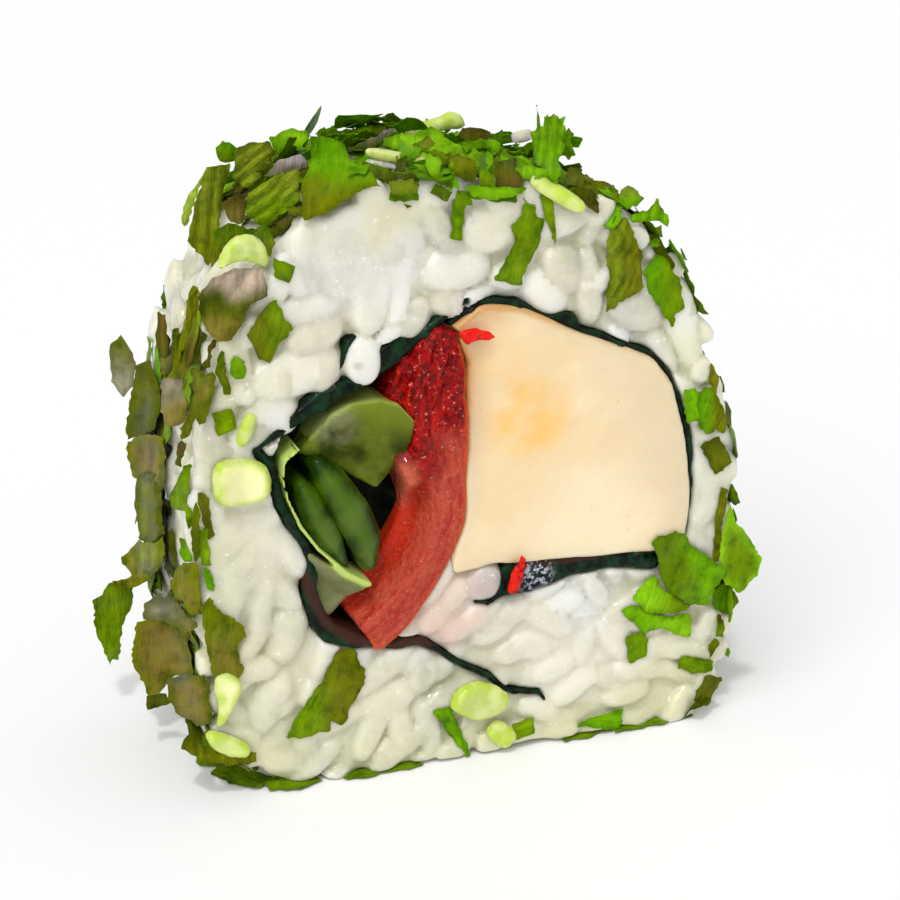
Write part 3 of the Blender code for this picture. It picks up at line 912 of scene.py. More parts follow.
def make_pepper():
    low, high = box_of("pepper_strip", 1.4)
    grid = Grid(low, high, (0.22, 0.30, 0.22))
    flat = grid.in_plane(PEPPER_LOOPS)
    x, z = grid.flat_x, grid.flat_z
    along, across = along_line(PEPPER_LINE, x, z)
    inner_side = smoothstep(-0.2, 1.5, -across) * smoothstep(11.5, 14.5, along)
    upper_side = smoothstep(0.9, 2.4, -across) * (1 - smoothstep(8.0, 11.0, along))
    rough = 1 - smoothstep(9.0, 13.0, along)
    half = HALF_SLICE + 0.35 - 2.6 * inner_side - 1.2 * upper_side
    half = half + (0.30 * rough + 0.06) * ripple(along * 0.45, across * 1.3, 0, 0.55)
    half = half + 0.15 * ripple(x, 0, z, 2.4)
    points, faces = through_slice(grid, flat - 0.1, half, 0.45, 0.10, 2.2)
    px, py, pz = points.T
    along, across = along_line(PEPPER_LINE, px, pz)
    colours = np.zeros((len(points), 4))
    edge = outline_distance(PEPPER_LOOPS, px, pz)
    right = smoothstep(0.6, 1.6, across)
    colours[:, 0] = 0.85 * smoothstep(-0.30, -0.05, edge) * right
    colours[:, 3] = smoothstep(8.5, 13.0, along + 1.5 * ripple(px, 0, pz, 2.0) + 1.2 * across)
    rib = smoothstep(21.0, 22.6, pz) * smoothstep(26.6, 25.4, pz)
    colours[:, 1] = 0.75 * rib * smoothstep(4.2, 5.8, -px)
    # Share of painted glints, highest on the rough upper part.
    colours[:, 2] = 0.45 + 0.50 * (1 - smoothstep(8.0, 13.0, along))
    vectors = np.stack([along, across, py], 1)
    piece("pepper", points, faces, pepper_look(), ("pepper_strip",), colours, vectors)


def make_nori():
    grid = Grid((-19.4, -10.8, 2.6), (20.6, 10.8, 40.8), (0.16, 0.6, 0.16))
    x, z = grid.flat_x, grid.flat_z
    flat = nori_distance(x, z) + 0.05 * ripple(x, 0, z, 0.8)
    half = HALF_SLICE - 0.05 + 0.22 * ripple(x, 0, z, 1.2)
    points, faces = through_slice(grid, flat, half, 0.12)
    px, _, pz = points.T
    colours = np.zeros((len(points), 4))
    under = smoothstep(15.75, 16.05, pz) * (np.abs(px - 10) < 6.5) * (pz < 17)
    inner, _ = capsule_flat(BROWN_LINE, px, pz)
    colours[:, 0] = under + smoothstep(0.25, -0.1, inner)
    colours[:, 1] = near(px, pz, (4.9, 15.2, 2.1))
    piece("nori_sheet_edge", points, faces, nori_look(), ("nori",), np.clip(colours, 0, 1))


STEMS = (
    ("green_strip_long", "green_stem_long", 0.1,
     ((-12.5, 26.6, 0.7), (-11.5, 25.1, 1.25), (-9.9, 22.3, 1.5), (-8.9, 20.0, 1.4), (-8.6, 18.0, 0.8))),
    ("green_strip_short", "green_stem_short", -0.25,
     ((-13.8, 24.9, 0.6), (-13.2, 23.6, 1.1), (-12.5, 21.8, 1.35), (-11.6, 19.9, 1.2), (-10.7, 18.3, 0.6))),
)


def make_stems():
    look = leaf_look("green_strip", (0.010, 0.032, 0.001), (0.080, 0.165, 0.002), 0.05, wet=0.30)
    for name, node, proud, line in STEMS:
        low, high = box_of(node, 1.4)
        grid = Grid(low, high, (0.2, 0.4, 0.2))
        x, z = grid.flat_x, grid.flat_z
        flat, _ = capsule_flat(line, x, z)
        dome = np.sqrt(np.clip(-flat / 1.4, 0, 1))
        half = HALF_SLICE - 1.0 + proud + 1.0 * dome + 0.10 * ripple(x, 0, z, 1.5)
        points, faces = through_slice(grid, flat, half, 0.35, 0.08, 2.0)
        gap, along = capsule_flat(line, points[:, 0], points[:, 2])
        colours = np.zeros((len(points), 4))
        # Painted highlight along the middle of each strip.
        colours[:, 0] = smoothstep(-0.4, -1.1, gap) * 0.65
        colours[:, 1] = 0.1 * smoothstep(0.3, 0.7, along)
        piece(name, points, faces, look, (node,), colours)


FOLD = ((-13.9, 27.4), (-13.0, 28.7), (-11.7, 30.4), (-10.0, 31.2), (-7.8, 31.3), (-6.2, 30.7),
        (-5.0, 29.2), (-5.4, 27.0), (-6.5, 24.9), (-7.7, 23.6), (-9.0, 24.4), (-10.8, 25.8), (-12.6, 26.6))
WRAP_EDGE = ((-14.2, 28.2, 0.12), (-15.3, 27.4, 0.12), (-15.5, 26.0, 0.12), (-15.1, 24.2, 0.12),
             (-14.2, 22.0, 0.13), (-12.8, 19.9, 0.15), (-10.8, 17.8, 0.14), (-8.7, 16.5, 0.12))
WRAP_BODY = ((-13.8, 20.0), (-12.6, 19.0), (-10.8, 17.5), (-8.8, 16.6), (-10.3, 15.3), (-11.6, 14.0),
             (-12.5, 13.5), (-13.3, 15.6))
HEART = ((-15.2, 27.6), (-13.2, 29.5), (-9.0, 32.6), (-5.6, 33.4), (-4.6, 28.0), (-4.6, 20.0),
         (-7.0, 17.4), (-11.8, 15.4), (-14.6, 20.0))


def make_fold():
    """The leaf folded over at the top left of the filling."""
    look = leaf_look("lettuce_fold", (0.030, 0.045, 0.002), (0.18, 0.23, 0.02), 0.06)
    grid = Grid((-15.5, -11.8, 22.6), (-3.8, 11.8, 32.6), (0.22, 0.35, 0.22))
    x, z = grid.flat_x, grid.flat_z
    flat = outline_distance([np.array(FOLD)], x, z)
    inward = smoothstep(29.5, 25.0, z + 0.25 * (x + 9))
    half = HALF_SLICE + 0.3 - 1.7 * inward - 0.25 * smoothstep(-0.8, 0.0, flat) + 0.18 * ripple(x, 0, z, 2.0)
    points, faces = through_slice(grid, flat, half, 0.12, 0.12, 2.0)
    px, _, pz = points.T
    colours = np.zeros((len(points), 4))
    gap = outline_distance([np.array(FOLD)], px, pz)
    # Painted light: the upper part is lighter, as lit from above.
    colours[:, 0] = smoothstep(27.5, 31.0, pz + 0.3 * (px + 8)) * 0.9
    # Painted sheen: a grey patch on the upper part.
    colours[:, 1] = near(px, pz, (-11.2, 29.8, 2.4)) * 0.7
    colours[:, 2] = 0.5 * smoothstep(-0.18, 0.0, gap) * (pz > 28.5)
    piece("lettuce_folded_leaf", points, faces, look, ("lettuce_fold",), colours)


def make_wrap():
    """The leaf against the nori, of which the pale edge and a flat part at its foot show."""
    look = leaf_look("lettuce_round_leaf", (0.14, 0.17, 0.045), (0.28, 0.32, 0.11), 0.12)
    grid = Grid((-17.2, -11.2, 12.4), (-7.0, 11.2, 30.0), (0.2, 0.4, 0.2))
    x, z = grid.flat_x, grid.flat_z
    line, _ = capsule_flat(WRAP_EDGE, x, z)
    body = outline_distance([np.array(WRAP_BODY)], x, z)
    flat = soft_min(line, body, 0.3)
    half = HALF_SLICE + 0.25 - 1.2 * smoothstep(0.1, 2.2, line) + 0.10 * ripple(x, 0, z, 1.5)
    points, faces = through_slice(grid, flat, half, 0.15, 0.06, 1.5)
    px, _, pz = points.T
    colours = np.zeros((len(points), 4))
    gap, _ = capsule_flat(WRAP_EDGE, px, pz)
    colours[:, 2] = 0.9 * smoothstep(0.35, 0.05, gap)
    colours[:, 1] = 0.5
    piece("lettuce_rolled_leaf", points, faces, look, ("lettuce_wrap",), colours)


def make_heart():
    """A leaf deep between the others, coloured nearly black as painted shade in the hollow there."""
    look = leaf_look("lettuce_inner_leaf_painted_shade", (0.002, 0.003, 0.001), (0.008, 0.014, 0.003), 0.05, 0.0)
    grid = Grid((-16.4, -7.6, 14.2), (-3.4, 7.6, 34.6), (0.45, 0.45, 0.45))
    flat = grid.in_plane([np.array(HEART)])
    half = HALF_SLICE - 4.2 + 1.0 * ripple(grid.x, 0, grid.z, 2.2)
    points, faces = through_slice(grid, flat, half, 0.5, 0.2, 2.0)
    colours = np.zeros((len(points), 4))
    piece("lettuce_crumpled_leaf", points, faces, look, ("lettuce_heart",), colours)


# ---------------------------------------------------------------- herbs
TONES = {  # linear colour, how far it may wander, share of pale grey painted sheen
    "bright": ((0.135, 0.340, 0.002), 0.30, 0.0),
    "vivid": ((0.210, 0.450, 0.006), 0.20, 0.0),
    "green": ((0.140, 0.245, 0.001), 0.25, 0.04),
    "olive": ((0.142, 0.160, 0.001), 0.18, 0.04),
    "dark": ((0.080, 0.100, 0.001), 0.25, 0.04),
    "ribbed": ((0.190, 0.250, 0.010), 0.15, 0.03),
    "khaki": ((0.190, 0.158, 0.020), 0.10, 0.10),
    "grey": ((0.270, 0.225, 0.155), 0.12, 0.3),
    "brown": ((0.110, 0.080, 0.010), 0.15, 0.2),
    "lime": ((0.470, 0.620, 0.070), 0.08, 0.0),
    "pale": ((0.520, 0.620, 0.170), 0.06, 0.0),
    "cream": ((0.760, 0.780, 0.390), 0.06, 0.0),
    "sheen": ((0.480, 0.380, 0.280), 0.05, 0.0),
    "lilac": ((0.520, 0.450, 0.500), 0.05, 0.0),
    "red": ((0.750, 0.008, 0.004), 0.10, 0.0),
}
CORNERS = {  # what a cut piece of leaf looks like, from -1 to 1 along it and across it
    "quad": ((-1, -0.9), (1, -0.8), (0.9, 1), (-0.9, 0.85)),
    "strip": ((-1, -0.8), (0, -1), (1, -0.6), (0.93, 0.8), (0, 0.85), (-0.93, 0.7)),
    "wedge": ((-1, -0.9), (0.2, -0.5), (1, -0.1), (1, 0.15), (0.1, 0.6), (-0.9, 1)),
    "diamond": ((-1, 0.1), (-0.1, -1), (1, -0.2), (0.2, 1)),
    "leaf": ((-1, 0), (-0.6, -0.7), (0, -1), (0.6, -0.75), (1, 0), (0.6, 0.7), (0, 1), (-0.6, 0.75)),
    "jag": ((-1, -0.3), (-0.5, -1), (0, -0.65), (0.5, -1), (1, -0.5), (0.8, 0.1), (1, 0.6), (0.35, 1),
            (0.1, 0.6), (-0.5, 0.9), (-0.75, 0.3)),
    "fan": ((-1, -0.25), (-0.4, -0.6), (0.3, -1), (0.75, -0.95), (0.8, -0.45), (1, -0.35), (1, 0.2),
            (0.8, 0.35), (0.8, 0.9), (0.35, 1), (-0.3, 0.6), (-1, 0.2)),
}


SHARP_ANGLE = math.radians(55)


def oval(length, width, squareness):
    """A rounded outline, squarer as squareness grows."""
    turn = np.linspace(0, 2 * math.pi, 28, endpoint=False)
    c, s = np.cos(turn), np.sin(turn)
    u = np.sign(c) * np.abs(c) ** (2 / squareness) * length / 2
    v = np.sign(s) * np.abs(s) ** (2 / squareness) * width / 2
    return np.stack([u, v], 1)


def cut_outline(shape, length, width, loose=0.14):
    corners = np.array(CORNERS[shape]) + rng.uniform(-loose, loose, (len(CORNERS[shape]), 2))
    return corners * [length / 2, width / 2]


def rough(corners, step, jag, wear=0.07):
    """An outline through the corners, worn away at each, with points between them pushed in and out."""
    corners = np.array(corners, float)
    ahead = np.roll(corners, -1, 0)
    worn = np.stack([corners + (ahead - corners) * wear, ahead + (corners - ahead) * wear], 1).reshape(-1, 2)
    out = []
    shift = rng.uniform(0, 300)
    for a, b in zip(worn, np.roll(worn, -1, 0)):
        length = np.hypot(*(b - a))
        count = max(int(round(length / step)), 1)
        across = np.array([b[1] - a[1], a[0] - b[0]]) / max(length, 1e-6)
        for i in range(count):
            at = a + (b - a) * i / count
            push = jag * (rng.uniform(-1, 1) + 1.2 * float(ripple(at[0] + shift, at[1], 0, 0.9)))
            out.append(at + across * push)
    return np.array(out)


def filled(outline, cell):
    """Corners and triangles that fill an outline, and how far each corner is from its edge."""
    low, high = outline.min(0) + cell / 2, outline.max(0)
    u, v = np.meshgrid(np.arange(low[0], high[0], cell), np.arange(low[1], high[1], cell))
    u = u + rng.uniform(-0.2, 0.2, u.shape) * cell
    v = v + rng.uniform(-0.2, 0.2, v.shape) * cell
    keep = outline_distance([outline], u, v) < -0.45 * cell
    points = np.concatenate([outline, np.stack([u[keep], v[keep]], 1)])
    count = len(outline)
    made = delaunay_2d_cdt(
        [Vector(p) for p in points], [(i, (i + 1) % count) for i in range(count)], [], 1, 1e-5
    )
    corners = np.array([(c.x, c.y) for c in made[0]])
    triangles = np.array([t for t in made[2] if len(t) == 3])
    a, b, c = (corners[triangles[:, i]] for i in range(3))
    turned_over = (b[:, 0] - a[:, 0]) * (c[:, 1] - a[:, 1]) < (b[:, 1] - a[:, 1]) * (c[:, 0] - a[:, 0])
    triangles[turned_over] = triangles[turned_over][:, ::-1]
    inward = np.maximum(-outline_distance([outline], corners[:, 0], corners[:, 1]), 0)
    return corners, triangles, inward


def sides_of(triangles):
    return np.concatenate([triangles[:, [0, 1]], triangles[:, [1, 2]], triangles[:, [2, 0]]])


def neighbour_total(values, edges):
    """The sum of the values at each point's neighbours."""
    total = np.bincount(edges[:, 0], values[edges[:, 1]], len(values))
    return total + np.bincount(edges[:, 1], values[edges[:, 0]], len(values))


def set_back(x, z, y):
    """A point drawn on the DRAWN_AT plane, moved along its line of sight to depth y."""
    t = (y - EYE[1]) / (DRAWN_AT - EYE[1])
    return EYE[0] + (x - EYE[0]) * t, EYE[2] + (z - EYE[2]) * t


def laid_on_roll(x, z, edges, off, deepest):
    """Places on the rolled side, off it by a little, that look as if drawn at (x, z)."""
    depths = np.linspace(-HALF_SLICE - 0.4, deepest, 48)
    px, pz = set_back(x[:, None], z[:, None], depths)
    gap = outline_distance([OUTER_LOOP], px, pz) - RIM_INSET
    near_enough = gap <= off
    first = np.where(near_enough.any(1), near_enough.argmax(1), gap.argmin(1))
    y = depths[first]
    links = np.bincount(edges.ravel(), minlength=len(x))
    for _ in range(5):
        y = (y + neighbour_total(y, edges)) / (1 + links)
    px, pz = set_back(x, z, y)
    return np.stack([px, y, pz], 1)


def along_and_up(along, facing):
    """Three directions at right angles: along, across and the way it faces."""
    up = np.array(facing, float) / np.linalg.norm(facing)
    first = np.array(along, float) - up * np.dot(along, up)
    first /= np.linalg.norm(first)
    return first, np.cross(up, first), up


class Flakes:
    """Many small thin solids joined in one mesh."""

    def __init__(self):
        self.points, self.faces, self.colours, self.vectors, self.total = [], [], [], [], 0
        self.count = 0

    def add(self, outline, at, along, facing, tone, thickness=0.16, cell=0.5, curl=0.0, bend=0.0,
            ribs=0.0, dome=0.12, ground=None, lift=0.05, to_tone=None, crinkle=0.14, rim_tone=None,
            seen=None, grain=0):
        """One closed flake. dome is how far from its edge it reaches its full thickness.

        Its ribs and veins run at grain degrees to its length.

        With seen, an (off, deepest) for laid_on_roll(), the outline is drawn in place.
        """
        flat, triangles, inward = filled(outline, cell)
        u, v = flat.T
        middle = flat.mean(0)
        span = max(np.ptp(u), 1e-3)
        width = max(np.ptp(v), 1e-3)
        shift = rng.uniform(0, 300)
        height = curl * width * ((v - middle[1]) / width * 2) ** 2 / 2
        height = height + bend * span * ((u - middle[0]) / span * 2) ** 2 / 2
        height = height + crinkle * ripple(u + shift, v, 5, 1.5)
        cos_grain, sin_grain = math.cos(math.radians(grain)), math.sin(math.radians(grain))
        local_u, local_v = u * cos_grain + v * sin_grain, v * cos_grain - u * sin_grain
        wave = np.sin(local_v * 7.5 + 2.0 * ripple(u + shift, v, 9, 1.6))
        height = height + ribs * wave
        edges = np.unique(np.sort(sides_of(triangles), axis=1), axis=0)
        if seen is not None:
            sheet = laid_on_roll(u, v, edges, *seen) + height[:, None] * TOWARD_CAMERA
        else:
            first, second, up = along_and_up(along, facing)
            sheet = np.array(at) + u[:, None] * first + v[:, None] * second + height[:, None] * up
        if ground is not None:
            sheet = ground.drape(sheet, edges, up, lift + thickness / 2)
        sheet[:, 2] += max(0.0, thickness / 2 + 0.02 - sheet[:, 2].min())
        share = 1 - np.clip(inward / dome, 0, 1)
        self.thicken(sheet, triangles, thickness / 2 * (0.25 + 0.75 * np.sqrt(1 - share**2)))
        colour, wander, painted_sheen = TONES[tone]
        own = np.array(colour) * (1 + wander * rng.uniform(-1, 1)) * (1 + 0.06 * rng.uniform(-1, 1, 3))
        others = [TONES[t][0] for t in to_tone.split()] if to_tone else [own * rng.uniform(0.75, 1.35)]
        stops = np.array([own, *others])
        run = (v.max() - v) / width if seen else (u - u.min()) / span
        margin = 0.5 / len(stops)
        place = (run + 0.15 * ripple(u, v, shift, 1.5) - margin) / (1 - 2 * margin)
        place = np.clip(place, 0, 0.999) * (len(stops) - 1)
        share = smoothstep(0.0, 1.0, place % 1)[:, None]
        colours = stops[place.astype(int)] * (1 - share) + stops[place.astype(int) + 1] * share
        shade = (0.72 + 0.28 * smoothstep(0.0, 0.25, inward))[:, None] if thickness < 0.4 else 1.0
        # Ribs are painted lighter on their crests and darker in their troughs, as highlight and shade.
        colours = colours * shade * (1 + 3.2 * ribs * wave)[:, None]
        if rim_tone:
            rim_share = 1 - smoothstep(0.0, 0.9, inward + 0.3 * ripple(u, v, shift, 0.9))[:, None]
            colours = colours * (1 - rim_share) + np.array(TONES[rim_tone][0]) * rim_share
        # Alpha: the share of pale grey painted sheen.
        colours = np.concatenate([colours, np.full((len(sheet), 1), painted_sheen * rng.uniform(0.2, 1))], 1)
        self.colours += [colours, colours * [0.8, 0.8, 0.8, 1.0]]
        local = np.stack([local_u, local_v, v * 0], 1) + rng.uniform(0, 50, 3)
        self.vectors += [local, local]
        self.count += 1

    def thicken(self, sheet, triangles, half):
        """Adds the closed solid that reaches half to each side of a sheet."""
        a, b, c = (sheet[triangles[:, i]] for i in range(3))
        normal = np.zeros_like(sheet)
        for i in range(3):
            np.add.at(normal, triangles[:, i], np.cross(b - a, c - a))
        normal /= np.linalg.norm(normal, axis=1, keepdims=True) + 1e-9
        number = len(sheet)
        present = {(int(p), int(q)) for p, q in sides_of(triangles)}
        start, end = np.array([(p, q) for p, q in present if (q, p) not in present]).T
        faces = np.concatenate([
            triangles,
            triangles[:, ::-1] + number,
            np.stack([start, start + number, end], 1),
            np.stack([end, start + number, end + number], 1),
        ])
        self.faces.append(faces + self.total)
        self.points += [sheet + normal * half[:, None], sheet - normal * half[:, None]]
        self.total += 2 * number

    def finish(self, name, look, slot):
        print(f"{name}: {self.count} flakes")
        obj = piece(name, np.concatenate(self.points), np.concatenate(self.faces), look,
                    (), np.concatenate(self.colours), np.concatenate(self.vectors))
        obj.data.set_sharp_from_angle(angle=SHARP_ANGLE)
        return obj


class Ground:
    """The rice's surface, for laying flakes on."""

    def __init__(self, objects):
        points, faces, base = [], [], 0
        for obj in objects:
            mesh = obj.data
            count = len(mesh.vertices)
            co = np.empty(count * 3, np.float32)
            mesh.vertices.foreach_get("co", co)
            points.append(co.reshape(-1, 3) / MM)
            index = np.empty(len(mesh.loops), np.int32)
            mesh.loops.foreach_get("vertex_index", index)
            faces.append(index.reshape(-1, 4) + base)
            base += count
        self.tree = BVHTree.FromPolygons(
            np.concatenate(points).tolist(), np.concatenate(faces).tolist()
        )

    def height(self, point, up):
        """How far the rice rises above point, along up, looking from 4 mm above it. None if it misses."""
        start = Vector(point) + Vector(up) * 4
        hit = self.tree.ray_cast(start, -Vector(up), 9.0)
        return None if hit[0] is None else 4 - hit[3]

    def drape(self, sheet, edges, up, gap):
        """Lowers a sheet onto the rice: it rests on the high grains and sags a little between them."""
        found = [self.height(p, up) for p in sheet]
        heights = np.array([np.nan if h is None else h for h in found])
        if np.isnan(heights).mean() > 0.7:
            return sheet
        low = np.nanpercentile(heights, 35)
        heights = np.maximum(np.where(np.isnan(heights), low, heights), low)
        rest = heights.copy()
        links = np.bincount(edges.ravel(), minlength=len(sheet))
        for _ in range(6):
            rest = np.maximum(neighbour_total(rest, edges) / np.maximum(links, 1), heights)
        return sheet + (rest + gap)[:, None] * up


FACE = (0.0, -1.0, 0.0)
FACE_FLAKES = (  # shape, tone, middle (x, z) on the cut face, direction of its length (x, z), length, width
    ("diamond", "green", (-15.1, 42.0), (0.5, -0.8), 2.3, 1.7),
    ("leaf", "vivid", (-18.6, 35.1), (0.4, -0.9), 1.9, 1.2),
    ("diamond", "green", (-19.7, 31.1), (0.9, -0.4), 2.5, 2.3),
    ("leaf", "bright", (-21.4, 18.7), (0.3, -1.0), 2.1, 0.8),
    ("strip", "olive", (-21.4, 24.0), (0.15, -1.0), 3.6, 0.8),
    ("strip", "green", (-21.6, 21.4), (0.0, -1.0), 3.0, 0.9),
    ("quad", "green", (4.0, 1.8), (1.0, 0.1), 2.0, 1.8),
    ("wedge", "bright", (-1.9, 2.6), (0.45, -0.9), 5.4, 1.5),
    ("wedge", "bright", (10.9, 1.2), (-1.0, 0.05), 4.2, 1.9),
    ("quad", "green", (14.0, 7.5), (0.1, -1.0), 2.7, 2.1),
    ("strip", "green", (19.4, 5.1), (1.0, -0.35), 3.4, 1.5),
    ("quad", "olive", (20.6, 2.5), (0.5, 0.9), 2.7, 1.9),
    ("strip", "dark", (15.0, 40.7), (0.5, -0.9), 3.4, 0.8),
    ("diamond", "olive", (19.9, 29.9), (0.35, -1.0), 2.9, 1.1),
    ("quad", "bright", (18.0, 28.0), (0.15, -1.0), 2.9, 1.3),
    ("leaf", "bright", (19.3, 27.4), (0.1, -1.0), 4.0, 1.7),
    ("leaf", "olive", (20.6, 26.4), (0.4, -1.0), 2.6, 1.2),
    ("quad", "dark", (20.4, 23.5), (0.5, -1.0), 3.0, 2.0),
    ("strip", "olive", (20.9, 17.6), (-0.1, -1.0), 6.6, 0.9),
    ("wedge", "green", (5.6, 44.1), (0.22, -1.0), 4.0, 1.1),
    ("strip", "green", (-1.6, 44.6), (0.2, 1.0), 3.0, 1.2),
    ("quad", "green", (-5.8, 46.8), (1.0, -0.1), 2.3, 1.1),
    ("quad", "green", (-3.0, 46.7), (0.8, -0.5), 1.6, 1.0),
    ("strip", "bright", (1.0, 46.2), (1.0, -0.2), 4.2, 0.8),
)
SHAPED_FLAKES = (  # tone at one side, at the other, how far it is lifted, outline (x, z) on the cut face
    ("green", "olive", 0.05, ((-11.6, 11.6), (-10.2, 11.2), (-9.5, 9.5), (-9.4, 8.4), (-10.4, 6.2),
     (-11.3, 4.8), (-12.2, 5.4), (-12.3, 4.6), (-14.6, 4.2), (-15.9, 4.4), (-14.6, 6.4), (-14.0, 7.6),
     (-12.6, 9.3))),
    ("green", "green", 0.1, ((3.5, 45.35), (4.4, 45.1), (4.55, 44.4), (5.15, 44.1), (4.7, 41.8),
     (3.95, 40.8), (3.3, 39.2), (2.4, 39.3), (1.25, 39.75), (2.85, 42.4), (2.5, 43.8), (3.3, 44.6))),
    ("ribbed", "olive", 0.15, ((10.9, 43.8), (11.9, 43.5), (12.6, 41.8), (13.1, 41.0), (13.4, 37.8),
     (11.3, 36.9), (10.6, 36.2), (10.4, 38.1), (10.4, 42.3))),
    ("bright", "green", 0.1, ((14.4, 40.5), (15.2, 40.3), (16.5, 38.2), (17.0, 36.0), (16.3, 35.8),
     (16.1, 34.5), (15.4, 35.8), (13.9, 37.7), (13.5, 39.1))),
    ("green", "olive", 0.05, ((-19.9, 36.5), (-19.5, 36.4), (-19.4, 35.2), (-19.3, 34.0), (-19.1, 33.6),
     (-19.3, 33.1), (-19.7, 33.2), (-19.75, 34.1), (-20.0, 34.6))),
    ("olive", "green", 0.2, ((-18.0, 37.6), (-15.7, 40.1), (-15.3, 38.8), (-14.3, 37.5), (-15.3, 36.5),
     (-16.2, 35.1), (-16.9, 35.4), (-17.4, 36.5))),
    ("green", "bright", 0.45, ((14.8, 16.6), (15.2, 17.2), (16.8, 17.5), (17.8, 17.2), (18.9, 15.4),
     (19.8, 15.1), (21.6, 13.6), (20.7, 12.1), (20.1, 10.5), (18.1, 11.0), (16.0, 12.6), (15.5, 15.0))),
    ("vivid", "green", 0.25, ((15.4, 14.0), (14.0, 12.9), (13.5, 12.1), (14.9, 10.4), (18.1, 10.1),
     (18.6, 10.7), (16.0, 12.5))),
    ("bright", "vivid", 0.05, ((12.4, 11.0), (13.6, 11.4), (15.3, 10.2), (17.0, 9.8), (18.7, 9.8),
     (19.0, 9.1), (18.7, 7.7), (16.2, 8.7), (14.5, 8.6))),
    ("bright", "green", 0.3, ((22.0, 12.0), (23.1, 10.7), (23.5, 9.9), (22.5, 9.1), (20.8, 9.8),
     (20.7, 11.7))),
    ("green", "bright", 0.05, ((17.3, 27.8), (18.2, 29.3), (18.8, 29.0), (18.3, 27.2), (18.0, 26.7),
     (17.5, 27.0))),
    ("bright", "olive", 0.15, ((18.8, 29.4), (19.7, 29.3), (20.8, 27.2), (20.0, 25.6), (19.3, 25.4),
     (18.4, 26.5))),
)
